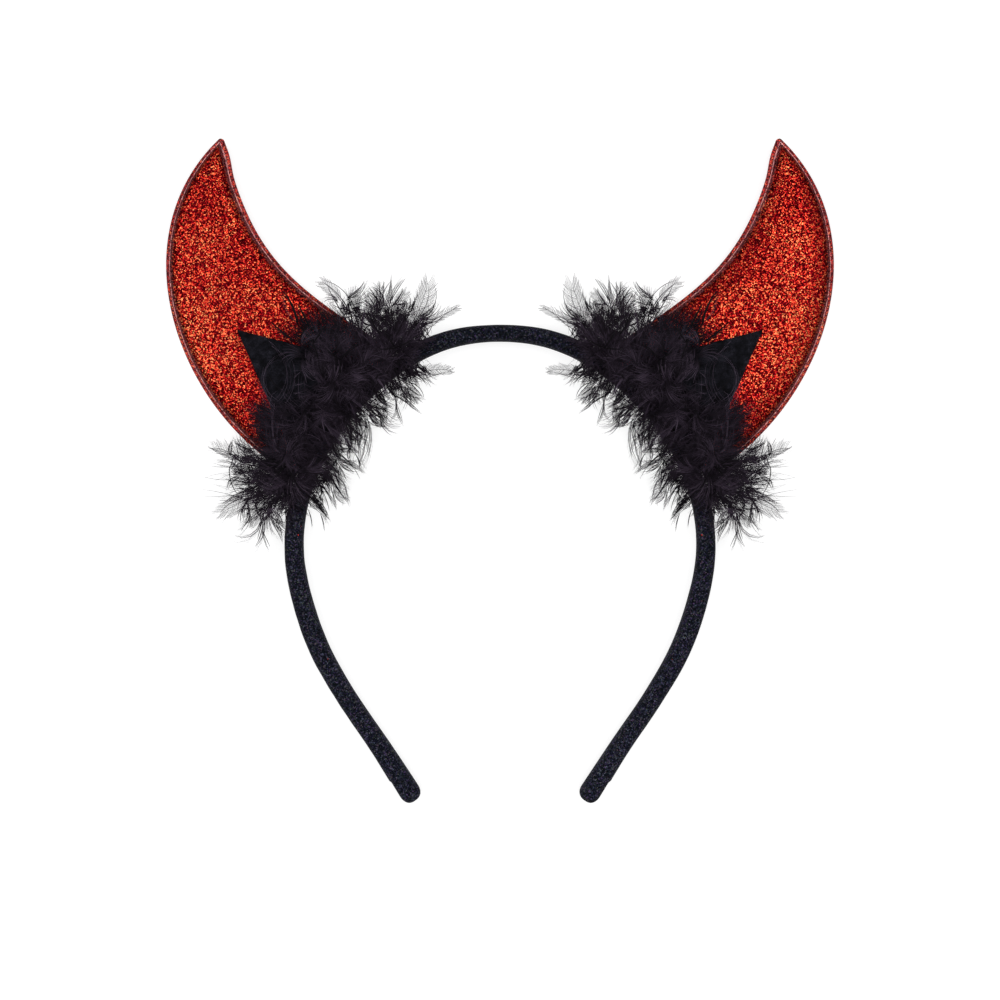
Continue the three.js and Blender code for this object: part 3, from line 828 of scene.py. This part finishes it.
tipLocks = [  # the locks that stand out: tip x and y, root x and y, half width, turn
    (21.9, 20.8, 26.2, 23.6, 1.9, -0.2), (23.7, 19.1, 28.4, 21.8, 0.9, 0.5),
    (32.4, 13, 37, 16.6, 1.1, -0.5), (31.9, 14.9, 36.4, 18.2, 1.0, -0.5), (31.4, 16.7, 35, 19.6, 0.5, -0.5),
    (41.4, 5.7, 41.7, 11.8, 1.6, -0.9), (40.4, 5.1, 46.2, 5.5, 0.9, 0.4), (40.4, 3.2, 46.7, 3.6, 0.5, -0.4),
    (38.6, -0.8, 45, 2.5, 0.4, 0.3), (43.5, -9.1, 48, -0.8, 2.2, 0.3), (48.6, -13.9, 54, -7.2, 1.4, 0.3),
    (46.6, -11, 49.5, -5.8, 0.5, 0.3), (28, 25.8, 31.6, 21.9, 0.8, 0.2),
    (26.8, 26.2, 30.6, 22.6, 0.6, -0.3), (37.3, -0.3, 38.2, 11.9, 0.4, -0.7),
    (36.4, 5, 37.6, 13.6, 0.4, -0.5), (45.4, -6, 47.6, 1, 0.9, 0.4), (24.4, 29.6, 26.4, 27, 0.5, 0.5),
    (38.3, 53.9, 43.2, 49, 1.1, -0.6), (36.8, 52.4, 33.9, 45.3, 0.9, -0.8),
    (38.2, 50.7, 34.8, 44.7, 0.8, -0.9), (31, 54.4, 31.9, 48.2, 0.5, -0.3), (27, 54.7, 31, 47.9, 0.5, 0.5),
    (27.4, 51.9, 30.5, 46.5, 0.6, -0.3), (18.5, 47.9, 23.4, 43.6, 0.7, -0.7),
    (18, 44.2, 23.4, 41.6, 0.6, -0.6), (44.5, 46.5, 40, 41, 0.9, 0.7), (20.2, 27.9, 24.2, 32.2, 0.7, -0.4),
    (21.9, 21.1, 27.4, 26.5, 1.1, -0.2), (25, 18, 30.8, 21.9, 0.8, 0.4),
    (31.9, 12.8, 36.8, 16.8, 0.9, -0.85), (31.9, 15.4, 35.1, 18.5, 0.8, -0.7),
    (31.6, 14, 29.6, 19.7, 0.35, 0.7), (27.4, 13.4, 29.4, 19.4, 0.5, -0.45), (41, 6, 40.8, 15.1, 1.1, 0.5),
    (39.6, 6.8, 38.2, 14.5, 0.5, 0.6), (40.5, 1.4, 38.2, 8.8, 0.3, 0.3), (49, -13.7, 53.3, -7.7, 0.8, 0.4),
    (49.5, -15.5, 53.6, -9.2, 0.3, 0.5), (78.7, -9.7, 72.4, -7.4, 0.6, -0.5),
    (75.2, -17.1, 71.8, -8.8, 0.5, 0.9), (70.1, -16.2, 71.3, -8.8, 0.5, -0.4),
    (75.8, -18.2, 68.1, -12, 0.5, 1.2), (70.1, -21.9, 67, -12.3, 0.7, 0.5),
    (65.6, -22.5, 67.5, -14.5, 0.3, -0.3), (61.8, -20.5, 65.8, -12.3, 1.0, 0.35),
    (61.6, -16, 64.1, -11.4, 0.7, 0.3), (76.1, 8.8, 76.4, 4.3, 0.8, 0.3), (74.7, 9.1, 69.5, 5.4, 1.0, 0.8),
    (80.9, 2.3, 73.5, 0.2, 0.5, -0.6), (77.2, -5.4, 74.1, -2, 0.8, -0.9), (77.2, 0.3, 75.2, 4.6, 0.8, 0.6),
    (61.3, 51.3, 57.5, 42, 0.35, 0.6), (57.5, 46.5, 54.5, 40.5, 0.35, 0.4),
    (65.3, 42.8, 60, 37.5, 0.4, 0.2), (70.5, 20, 64, 17, 0.6, 0.5), (72, 14, 65, 12, 0.6, 0.4),
    (41, 0, 37.8, 15.2, 0.5, 0.6), (22.6, 16.9, 27.4, 21.7, 0.6, -0.4), (50.2, -17.1, 51, -12, 0.15, 0.3),
    (53.6, -16, 54.4, -11, 0.15, 0.3), (38.5, -0.9, 45.6, 3.1, 0.4, 0.5), (42.5, 6.5, 45.5, 13, 1.3, 0.3),
]
spineLine = smoothLine([(x, y, trimLook["spineZ"]) for x, y in trimLook["spine"]], 300)
hornEnd = [onBand(s, 1) for s in np.linspace(*hornLook["foot"][::-1], 12)]
hornOutline = np.vstack([hornInner[::8], hornOuter[::-8], hornEnd])
feltEnd = [onBand(s, feltLook["overBand"]) for s in np.linspace(*feltLook["foot"], 12)]
feltOutline = np.vstack([[feltApex], feltEnd])
bandMiddle = np.array([onBand(s, 0.5) for s in np.linspace(0.5, 0.85, 120)])


def inside(outline, x, y):
    hits = np.zeros(x.shape, bool)
    for (ax, ay), (bx, by) in zip(outline, np.roll(outline, -1, axis=0)):
        if ay != by:
            hits ^= ((ay > y) != (by > y)) & (x < (bx - ax) * (y - ay) / (by - ay) + ax)
    return hits


def liftClear(paths):
    # keeps strands above the horn, the felt and the band, and under the strip's full height
    x, y, z = paths[..., 0], paths[..., 1], paths[..., 2]
    under = np.full(x.shape, trimLook["overFloor"])
    under[inside(hornOutline, x, y)] = trimLook["overHorn"]
    reach = np.full(x.shape, 1e9)
    for px, py in bandMiddle:
        reach = np.minimum(reach, (x - px) ** 2 + (y - py) ** 2)
    onTop = reach < trimLook["bandReach"] ** 2
    under = np.where(onTop, np.maximum(under, trimLook["overBand"]), under)
    feltTop = feltBottom(x, y) + feltLook["thick"] + trimLook["overFelt"]
    under = np.where(inside(feltOutline, x, y), np.maximum(under, feltTop), under)
    lift = np.maximum(under + trimLook["clear"] - z, 0)
    for k in range(1, lift.shape[1]):
        lift[:, k] = np.maximum(lift[:, k], lift[:, k - 1] * trimLook["easing"])
    for k in reversed(range(lift.shape[1] - 1)):
        lift[:, k] = np.maximum(lift[:, k], lift[:, k + 1] * trimLook["easing"])
    paths[..., 2] = np.minimum(z + lift, trimLook["highest"])
    return paths


def arcsBetween(roots, tips, turn, hump, steps):
    # arcs from root to tip that turn by so many radians on the way
    away = tips - roots
    s = (np.arange(steps - 1) + 0.5) / (steps - 1)
    angle = np.arctan2(away[:, 1], away[:, 0])[:, None] + turn[:, None] * (s - 0.5)
    step = np.stack([np.cos(angle), np.sin(angle)], axis=2)
    scale = np.linalg.norm(away[:, :2], axis=1) / np.linalg.norm(step.sum(axis=1), axis=1)
    flat = np.cumsum(np.concatenate([roots[:, None, :2], step * scale[:, None, None]], axis=1), axis=1)
    t = np.linspace(0, 1, steps)
    height = roots[:, 2:] + away[:, 2:] * t ** 2 + hump[:, None] * 4 * t * (1 - t)
    return np.concatenate([flat, height[..., None]], axis=2)


def arcsFrom(roots, heading, climb, length, turn, steps):
    # arcs whose heading turns steadily from the root on
    s = (np.arange(steps - 1) + 0.5) / (steps - 1)
    angle = heading[:, None] + turn[:, None] * s ** 1.3
    climb = climb[:, None] * (1 - 1.6 * s)
    step = np.stack([np.cos(angle), np.sin(angle), climb], axis=2) * (length / (steps - 1))[:, None, None]
    return np.cumsum(np.concatenate([roots[:, None], step], axis=1), axis=1)


def besideOf(ahead):
    aside = np.stack([-ahead[..., 1], ahead[..., 0], 0 * ahead[..., 0]], axis=-1)
    return aside / (np.linalg.norm(aside, axis=-1, keepdims=True) + 1e-9)


def nearSpine(points):
    flat = spineLine[:, :2]
    return np.array([spineLine[np.argmin(np.linalg.norm(flat - point[:2], axis=1))] for point in points])


def stemsTo(roots, rng):
    # dark stems from the cord to what stands off it
    onSpine = nearSpine(roots)
    far = np.linalg.norm((roots - onSpine)[:, :2], axis=1) > 2
    roots, onSpine = roots[far], onSpine[far]
    count = len(roots)
    stems = arcsBetween(onSpine, roots, rng.normal(0, 0.4, count), np.ones(count), 6)
    stems[:, -1] += stems[:, -1] - stems[:, -2]
    return stems, np.full((count, 6), trimLook["stemRadius"]), np.full(count, 0.1)


def leafQuills(rng):
    rows = np.array(leafPlumes)
    count = len(rows)
    onSpine = nearSpine(rows[:, 2:4])
    roots = np.column_stack([rows[:, 2:4], onSpine[:, 2]])
    tips = np.column_stack([rows[:, :2], rng.uniform(5, 9, count)])
    tips[:, :2] += (roots - tips)[:, :2] * 0.06  # the last barbs reach past the quill
    quills = arcsBetween(roots, tips, rows[:, 5], rng.uniform(1, 2.5, count), trimLook["quillSteps"])
    return quills, rows[:, 4], np.ones(count)


def fanQuills(rng):
    roots, tips, half, leaf, hump = [], [], [], [], []
    for fan in trimFans:
        for index in range(fan["count"]):
            share = index / (fan["count"] - 1)
            at, turn, reach = (a + (b - a) * share for a, b in (fan["at"], fan["turn"], fan["reach"]))
            for _ in range(trimLook["perTuft"]):
                root = readLine(spineLine, np.clip(at + rng.normal(0, 0.03), 0, 1))
                root = root + rng.normal(0, 1.2, 3) * (1, 1, 0.5)
                heading = radians(turn + rng.normal(0, trimLook["headingSpread"]))
                length = reach * rng.uniform(0.55, 1.05)
                roots.append(root)
                tipZ = fan["tipZ"] + rng.normal(0, 1.2)
                tips.append((root[0] + length * cos(heading), root[1] + length * sin(heading), tipZ))
                half.append(rng.uniform(1.3, 2.6))
                leaf.append(np.clip(fan["leaf"] + rng.normal(0, 0.15), 0, 1))
                hump.append(fan["hump"] + rng.normal(0, 0.5))
    turn = rng.normal(0, 0.8, len(roots))
    quills = arcsBetween(np.array(roots), np.array(tips), turn, np.array(hump), trimLook["quillSteps"])
    return quills, np.array(half), np.array(leaf)


def barbStrands(quills, half, leaf, perMm, tone, rng):
    # barbs on both sides of each quill: long and loose on a tuft, short and neat on a leaf plume
    steps = quills.shape[1]
    length = np.linalg.norm(np.diff(quills, axis=1), axis=2).sum(axis=1)
    perPlume = np.maximum((length * perMm).astype(int), 16)
    owner = np.repeat(np.arange(len(quills)), perPlume)
    order = np.concatenate([np.arange(n) for n in perPlume])
    side = np.where(order % 2 == 0, 1.0, -1.0)
    neat = leaf[owner]
    first, last = 0.06 + 0.26 * neat, 0.6 + 0.39 * neat
    t = first + (last - first) * order / perPlume[owner] + rng.uniform(-0.008, 0.008, len(owner))
    t = np.clip(t, 0, 0.995)
    low = (t * (steps - 1)).astype(int)
    part = (t * (steps - 1) - low)[:, None]
    root = quills[owner, low] * (1 - part) + quills[owner, low + 1] * part
    ahead = quills[owner, low + 1] - quills[owner, low]
    ahead /= np.linalg.norm(ahead, axis=1, keepdims=True)
    out = besideOf(ahead) * side[:, None]
    clump = owner * 1000 + order // 2 // trimLook["clump"]
    group = np.unique(clump * 2 + (side > 0), return_inverse=True)[1]
    groups = group.max() + 1
    ragged = 1 + (1.2 - 0.5 * neat) * (rng.normal(0, 0.15, groups)[group] + rng.normal(0, 0.06, len(owner)))
    lean = 1 + rng.uniform(-0.35, 0.35, len(quills))[owner] * side  # one side of a plume is wider
    wide = half[owner] * np.interp(t, [0.06, 0.5, 0.8, 1], [0.6, 1, 1, 0.9]) * ragged * lean
    roundTip = np.sqrt(1 - np.clip((t - 0.65) / 0.36, 0, 1) ** 2)
    wide *= 1 - neat * (1 - roundTip)  # on a leaf plume
    run = (length[owner] * 0.4 * (1 - neat) + half[owner] * 1.5 * neat) * ragged
    hook = rng.normal(0.1, 0.4, groups)[group] * (1 - 0.8 * neat)
    sweep = rng.normal(0, 0.45, len(quills))[owner] * (1 - 0.7 * neat)  # both sides bend one way
    lift = rng.normal(0, 0.6, groups)[group] * (1 - 0.5 * neat) + rng.normal(0, 0.12, len(owner))
    s = np.linspace(0, 1, 5)[None, :, None]
    splay = 0.25 * s + 0.75 * s ** 2
    blade = 1.5 * s - 0.55 * s ** 2
    bow = splay + (blade - splay) * neat[:, None, None] + hook[:, None, None] * s ** 3
    paths = (root[:, None] + ahead[:, None] * run[:, None, None] * s
             + out[:, None] * wide[:, None, None] * bow
             + besideOf(ahead)[:, None] * (run * sweep)[:, None, None] * s ** 2
             + lift[:, None, None] * s ** 1.5 * np.array([0, 0, 1.0]))
    ends = np.zeros((groups, 3))
    np.add.at(ends, group, paths[:, -1])
    ends /= np.bincount(group)[:, None]
    cling = rng.uniform(0.2, 0.75, groups)[group] * (1 - 0.4 * neat)
    paths = paths + (ends[group] - paths[:, -1])[:, None] * s ** 1.4 * cling[:, None, None]
    radius = rng.uniform(*trimLook["barbRadius"], len(owner)) * (1 - 0.4 * neat)
    radius = radius[:, None] * np.array([0.9, 1, 0.95, 0.8, 0.4])
    tones = tone[owner] + rng.normal(0, 0.1, groups)[group] + rng.normal(0, 0.08, len(owner))
    kept = np.linspace(0, steps - 1, 8).round().astype(int)
    quillRadius = np.linspace(*trimLook["quillRadius"], 8)[None] * np.ones((len(quills), 1))
    return (paths, radius, tones), (quills[:, kept], quillRadius, tone * 0.4)


def partHairs(middle, half, hairs, rng):
    # hairs that part in the middle of a lock and meet again at its ends
    count, steps = middle.shape[:2]
    spread = np.linspace(-1, 1, hairs)
    border = abs(spread) > 0.99
    bulge = np.sin(pi * np.linspace(0, 1, steps) ** 0.8)
    root = middle[:, None, :1]
    reach = np.where(border, 1, rng.uniform(0.85, 1.3, (count, hairs)))[..., None, None]
    shift = half[:, None, None] * (spread + rng.normal(0, 0.08, (count, hairs)))[..., None] * bulge
    aside = besideOf(np.gradient(middle, axis=1))[:, None]
    paths = root + (middle[:, None] - root) * reach + aside * shift[..., None]
    paths[..., 2] += rng.normal(0, 0.25, (count, hairs, 1)) * bulge
    radius = np.where(border, rng.uniform(*trimLook["borderRadius"], (count, hairs)),
                      rng.uniform(*trimLook["hairRadius"], (count, hairs)))
    taper = np.interp(np.linspace(0, 1, steps), [0, 0.3, 0.6, 1], [0.6, 1, 0.9, 0.2])
    radius *= np.clip(half / 0.5, 0.45, 1)[:, None]  # a narrow lock is fine too
    tones = rng.uniform(0.05, 0.5, (count, 1)) + rng.normal(0, 0.06, (count, hairs))
    return paths.reshape(-1, steps, 3), radius.reshape(-1, 1) * taper, tones.ravel()


def shownLocks(rng):
    rows = np.array(tipLocks)
    count = len(rows)
    roots = np.column_stack([rows[:, 2:4], rng.uniform(7, 11, count)])
    tips = np.column_stack([rows[:, :2], rng.uniform(4, 9, count)])
    middle = arcsBetween(roots, tips, rows[:, 5] * 2, np.zeros(count), 6)
    return partHairs(middle, rows[:, 4] * 0.6, trimLook["shownHairs"], rng), stemsTo(roots, rng)


def onQuills(quills, weights, first, count, rng):
    # places on the quills, with the way each quill heads there
    steps = quills.shape[1]
    owner = rng.choice(len(quills), count, p=weights / weights.sum())
    at = rng.integers(int(first * steps), steps - 1, count)
    ahead = quills[owner, at + 1] - quills[owner, at]
    return quills[owner, at], np.arctan2(ahead[:, 1], ahead[:, 0])


def looseLocks(quills, leaf, rng):
    count = trimLook["locks"]
    roots, heading = onQuills(quills, leaf ** 3, 0.3, count, rng)
    turn = rng.uniform(0.3, 1.9, count) * rng.choice([-1, 1], count)
    middle = arcsFrom(roots, heading + rng.normal(0, 0.75, count) - turn / 2, rng.normal(0.05, 0.2, count),
                      rng.uniform(*trimLook["lockLength"], count), turn, 6)
    return partHairs(middle, rng.uniform(*trimLook["lockHalf"], count), trimLook["lockHairs"], rng)


def vaneStrands(rng):
    # curved vanes that spread from dark hearts: a bold quill along one edge and fine hairs beside it
    vanes = [row[-1] for row in trimHearts]
    rows = np.repeat(np.array(trimHearts, float), vanes, axis=0)
    order = np.concatenate([np.linspace(0, 1, n) for n in vanes])
    count, hairs, steps = len(rows), trimLook["vaneHairs"], 6
    heading = np.radians(rows[:, 4] + (rows[:, 5] - rows[:, 4]) * order) + rng.normal(0, 0.25, count)
    bend = rng.uniform(0.4, 1.5, count) * rng.choice([-1, 1], count)
    roots = rows[:, :3] + rng.normal(0, 1, (count, 3)) * (1.5, 1.5, 0.4)
    reach = rows[:, 3] * rng.uniform(0.7, 1.05, count)
    climb = rng.normal(0.1, 0.12, count)
    shade = rng.uniform(0.25, 0.85, count)
    owner = np.repeat(np.arange(count), hairs)
    spread = np.tile(np.linspace(-1, 1, hairs), count)
    quill = spread * np.sign(bend)[owner] < -0.99  # along the outer edge of the bend
    aim = heading[owner] + (spread + rng.normal(0, 0.12, len(owner))) * trimLook["vaneSpread"]
    length = reach[owner] * (1 - 0.3 * spread ** 2) * rng.uniform(0.85, 1.05, len(owner))
    out = rng.uniform(0, 1.2, (len(owner), 1)) * np.column_stack([np.cos(aim), np.sin(aim), 0 * aim])
    paths = arcsFrom(roots[owner] + out, aim, climb[owner] + rng.normal(0, 0.03, len(owner)), length,
                     bend[owner] + 0.45 * spread, steps)
    radius = np.where(quill, trimLook["vaneQuill"], rng.uniform(*trimLook["vaneRadius"], len(owner)))
    tones = np.where(quill, 0.1, shade[owner] + rng.normal(0, 0.08, len(owner)))
    return (paths, radius[:, None] * np.array([0.8, 1, 1, 0.85, 0.6, 0.25]),
            tones[:, None] * np.array([0.1, 0.4, 0.8, 1, 1, 0.8]))


def veilStrands(rows, rng):
    rows = np.array(rows, float)
    owner = np.repeat(np.arange(len(rows)), rows[:, 7].astype(int))
    row, count = rows[owner], len(owner)
    along = rng.random((count, 1))
    flat = row[:, :2] * (1 - along) + row[:, 2:4] * along + rng.normal(0, 1, (count, 2))
    roots = np.column_stack([flat, rng.uniform(8, 11, count)])
    paths = arcsFrom(roots, np.radians(row[:, 4]) + rng.normal(0, 0.3, count), rng.normal(-0.05, 0.05, count),
                     row[:, 5] * rng.uniform(0.3, 1.1, count), rng.normal(0, 0.5, count), 4)
    radius = (row[:, 6] * rng.uniform(0.65, 1.1, count))[:, None] * np.array([1, 1, 0.8, 0.3])
    return paths, radius, np.clip(row[:, 8] + rng.normal(0, 0.12, count), 0, 1)


def boldStrands(rows, rootZ, tipZ, hump):
    rows = np.array(rows)
    count = len(rows)
    roots = np.column_stack([rows[:, 2:4], np.full(count, rootZ)])
    tips = np.column_stack([rows[:, :2], np.full(count, tipZ)])
    paths = arcsBetween(roots, tips, rows[:, 5], np.full(count, hump), 8)
    return paths, rows[:, 4:5] * np.array([0.7, 1, 1, 1, 0.9, 0.75, 0.55, 0.2]), np.zeros(count)


def innerLocks(rng):
    # a lacy row of locks along the band's inner edge
    count = trimLook["innerLocks"]
    edge = np.array([onBand(share, 0.2) for share in np.linspace(*trimLook["innerSpan"], count)])
    roots = np.column_stack([edge + rng.normal(0, 0.5, (count, 2)), rng.uniform(6, 9.5, count)])
    heading = np.radians(rng.uniform(*trimLook["innerHeading"], count))
    turn = rng.uniform(0.3, 1.5, count) * rng.choice([-1, 1], count)
    middle = arcsFrom(roots, heading - turn / 2, rng.normal(-0.1, 0.12, count),
                      rng.uniform(*trimLook["innerLength"], count), turn, 6)
    return partHairs(middle, rng.uniform(*trimLook["innerHalf"], count), trimLook["shownHairs"], rng)


def feltStrands(rng):
    # pale hairs over the felt, a few side by side in each loop
    rows = np.repeat(np.array(feltLoops), trimLook["loopHairs"], axis=0)
    count = len(rows)
    stray = rng.normal(0, 0.6, (count, 4))
    rootZ = rng.uniform(10.2, 11, count) + 4 * (rows[:, 3] < 10)  # the lowest start on the strip
    roots = np.column_stack([rows[:, 2:4] + stray[:, :2], rootZ])
    tips = np.column_stack([rows[:, :2] + stray[:, 2:], rng.uniform(9.2, 10, count)])
    paths = arcsBetween(roots, tips, rows[:, 5] + rng.normal(0, 0.25, count), np.full(count, 0.8), 9)
    return paths, rows[:, 4:5] * np.linspace(1, 0.4, 9), rng.uniform(0.5, 0.9, count)


def curlStrands(quills, leaf, rng):
    # dark curls: a few barbs that cling together and hook to one side
    count, strands, steps = trimLook["curls"], trimLook["curlStrands"], 7
    roots, heading = onQuills(quills, leaf ** 2 + 0.1, 0.3, count, rng)
    turn = rng.uniform(0.5, 2.4, count) * rng.choice([-1, 1], count)
    heading += rng.normal(0, 0.8, count) - turn / 2
    length = rng.uniform(3, 7.5, count)
    repeat = np.repeat(np.arange(count), strands)
    loose = rng.normal(0, 0.22, (len(repeat), 3)) * (1, 1, 0.4)
    aim = heading[repeat] + rng.normal(0, 0.08, len(repeat))
    climb = rng.normal(0.1, 0.2, count)[repeat]
    reach = length[repeat] * rng.uniform(0.85, 1, len(repeat))
    bend = turn[repeat] + rng.normal(0, 0.12, len(repeat))
    paths = arcsFrom(roots[repeat], aim, climb, reach, bend, steps)
    paths += loose[:, None] * np.linspace(1, 0.2, steps)[None, :, None]
    radius = rng.uniform(*trimLook["curlRadius"], len(repeat))[:, None]
    radius = radius * np.array([0.6, 0.9, 1, 0.95, 0.75, 0.45, 0.1])
    return paths, radius, rng.uniform(0, 0.3, count)[repeat]


def downStrands(quills, rng):
    count = trimLook["down"]
    roots, heading = onQuills(quills, np.ones(len(quills)), 0, count, rng)
    roots = roots + rng.normal(0, 0.4, (count, 3))
    heading = heading + rng.normal(0, 1.2, count)
    paths = arcsFrom(roots, heading, rng.uniform(-0.2, 0.4, count),
                     rng.uniform(*trimLook["downLength"], count), rng.normal(0, 1.2, count), 4)
    radius = rng.uniform(*trimLook["downRadius"], count)[:, None] * np.array([0.8, 1, 0.8, 0.2])
    return paths, radius, np.clip(rng.normal(0.4, 0.22, count), 0, 1)


def cordFluff(rng):
    # short dark fluff that hides the cord
    count = trimLook["cordFluff"]
    roots = readLine(spineLine, rng.random(count)) + rng.normal(0, 1, (count, 3)) * (1.8, 1.8, 0.8)
    paths = arcsFrom(roots, rng.uniform(0, 2 * pi, count), rng.uniform(-0.3, 0.5, count),
                     rng.uniform(3, 7, count), rng.normal(0, 1, count), 4)
    radius = rng.uniform(*trimLook["cordFluffRadius"], count)[:, None] * np.array([0.8, 1, 0.8, 0.2])
    return paths, radius, np.clip(rng.normal(0.35, 0.15, count), 0, 1)


def wispStrands(rng):
    count = trimLook["wisps"]
    roots = np.column_stack([rng.uniform(*span, count) for span in trimLook["wispSpan"]])
    paths = arcsFrom(roots, rng.normal(-0.05, 0.3, count), rng.uniform(-0.1, 0.1, count),
                     rng.uniform(7, 11.5, count), rng.normal(0, 0.5, count), 5)
    radius = np.full((count, 1), trimLook["wispRadius"]) * np.array([1, 0.9, 0.8, 0.6, 0.3])
    return paths, radius, np.full(count, 0.4)


def clearStrands(name, strands):
    paths, radii, tones = strands
    return strandMesh(name, liftClear(paths), radii, np.clip(tones, 0, 1))


def joinStrands(name, parts):
    bm = bmesh.new()
    for partName, strands in parts.items():
        mesh = clearStrands(partName, strands)
        bm.from_mesh(mesh)
        bpy.data.meshes.remove(mesh)
    return meshOf(bm, name)


def blackDown():
    material, tree, shader = newMaterial("blackDown", (0.01, 0.008, 0.01), 0.55)
    shader.inputs["Specular IOR Level"].default_value = 0.07
    tone = addNode(tree, "Attribute", attribute_name="tone").outputs["Fac"]
    # random strand tones; the palest stand for sheen on some strands, a painted highlight
    tint = addRamp(tree, tone, [(0.0, (0.003, 0.0022, 0.0034)), (0.35, (0.016, 0.0113, 0.0178)),
                                (0.65, (0.046, 0.033, 0.051)), (1.0, (0.115, 0.088, 0.125))])
    tree.links.new(tint, shader.inputs["Base Color"])
    return material


rng = np.random.default_rng(31)
leafLines, leafHalf, leafNeat = leafQuills(rng)
tuftLines, tuftHalf, tuftNeat = fanQuills(rng)
leafLines, tuftLines = liftClear(leafLines), liftClear(tuftLines)
tuftMm, leafMm = trimLook["barbsPerMm"]
leafTone = rng.uniform(0.3, 0.6, len(leafLines))
leafBarbs, leafStems = barbStrands(leafLines, leafHalf, leafNeat, leafMm, leafTone, rng)
tuftTone = rng.uniform(0.15, 0.7, len(tuftLines))
tuftBarbs, tuftStems = barbStrands(tuftLines, tuftHalf, tuftNeat, tuftMm, tuftTone, rng)
lockHairs, lockStems = shownLocks(rng)
cordLine = readLine(spineLine, np.linspace(0, 1, 40))[None]
plumeMesh = joinStrands("plumes", {
    "leafBarbs": leafBarbs,
    "leafStems": leafStems,
    "lockHairs": lockHairs,
    "lockStems": lockStems,
    "cord": (cordLine, np.full((1, 40), trimLook["spineRadius"]), np.zeros(1)),
    "innerLocks": innerLocks(rng),
    "locks": looseLocks(tuftLines, tuftNeat, rng),
    "curls": curlStrands(tuftLines, tuftNeat, rng),
})
tuftMesh = joinStrands("tufts", {"tuftBarbs": tuftBarbs, "tuftStems": tuftStems})
edgeRoots = np.array([(row[2], row[3], trimLook["edgeZ"][0]) for row in edgeLines])
downMesh = joinStrands("down", {
    "fluff": downStrands(tuftLines, rng),
    "cordFluff": cordFluff(rng),
    "wisps": wispStrands(rng),
    "vanes": vaneStrands(rng),
    "veil": veilStrands(trimVeils, rng),
    "feltHairs": feltStrands(rng),
    "boldLines": boldStrands(boldLines, *trimLook["boldZ"]),
    "edgeLines": boldStrands(edgeLines, *trimLook["edgeZ"]),
    "hornBarbs": boldStrands(hornBarbs, *trimLook["hornZ"]),
    "heartStems": stemsTo(np.array(trimHearts, float)[:, :3], rng),
    "plumeStems": stemsTo(leafLines[:, 0], rng),
    "edgeStems": stemsTo(edgeRoots, rng),
    "hornVeil": veilStrands(hornVeils, rng),
})
blackFeather = blackDown()
featherMeshes = {"plumes": plumeMesh, "tufts": tuftMesh, "down": downMesh}
for side, sign in sides.items():
    for name, mesh in featherMeshes.items():
        shape = mesh if sign > 0 else mirrored(mesh)
        stands = name == "plumes"
        addPiece(f"{name}_{side}", shape, blackFeather, f"feather_trim_{side}", stands)
print("feathers:", len(plumeMesh.polygons), len(tuftMesh.polygons), len(downMesh.polygons), "faces a side")


# Floor, light and camera

stageLook = {
    "floorSize": 3.0,
    "floorColor": (0.3, 0.3, 0.3),
    "floorGlow": 0.78,  # lit from below, as a light table is
    "world": 0.27,
    "softboxes": {  # place, size, power
        "leftSoftbox": ((-0.55, 0.25, 0.75), (0.5, 0.5), 3.9),
        "rightSoftbox": ((0.55, 0.25, 0.75), (0.5, 0.5), 3.9),
        "topSoftbox": ((0.0, -0.35, 1.1), (0.7, 0.5), 4.5),
    },
    "frameWidth": 0.285,  # of the view, at the object
    "lens": 100,
    "lookAt": (0, -0.00827, 0.005),
}


def addFloor():
    bm = bmesh.new()
    bmesh.ops.create_grid(bm, x_segments=2, y_segments=2, size=stageLook["floorSize"] / 2)
    material, tree, shader = newMaterial("paleFloor", stageLook["floorColor"], 0.9)
    shader.inputs["Specular IOR Level"].default_value = 0.1
    shader.inputs["Emission Color"].default_value = (1, 1, 1, 1)
    shader.inputs["Emission Strength"].default_value = stageLook["floorGlow"]
    mesh = meshOf(bm, "floor")
    mesh.materials.append(material)
    floor = bpy.data.objects.new("floor", mesh)
    scene.collection.objects.link(floor)


def addLight(name, place, size, power):
    lamp = bpy.data.lights.new(name, "AREA")
    lamp.shape = "RECTANGLE"
    lamp.size, lamp.size_y = size
    lamp.energy = power
    light = bpy.data.objects.new(name, lamp)
    light.location = place
    light.rotation_euler = (-Vector(place)).to_track_quat("-Z", "Y").to_euler()
    scene.collection.objects.link(light)


addFloor()
for name, (place, size, power) in stageLook["softboxes"].items():
    addLight(name, place, size, power)
world = bpy.data.worlds.new("studio")
world.use_nodes = True
background = world.node_tree.nodes["Background"].inputs
background["Color"].default_value = (1, 1, 1, 1)
background["Strength"].default_value = stageLook["world"]
scene.world = world
scene.view_settings.view_transform = "Standard"
cameraData = bpy.data.cameras.new("camera")
cameraData.lens = stageLook["lens"]
camera = bpy.data.objects.new("camera", cameraData)
distance = stageLook["frameWidth"] * stageLook["lens"] / cameraData.sensor_width
camera.location = Vector(stageLook["lookAt"]) + Vector((0, 0, distance))
scene.collection.objects.link(camera)
scene.camera = camera
print("stage ready")
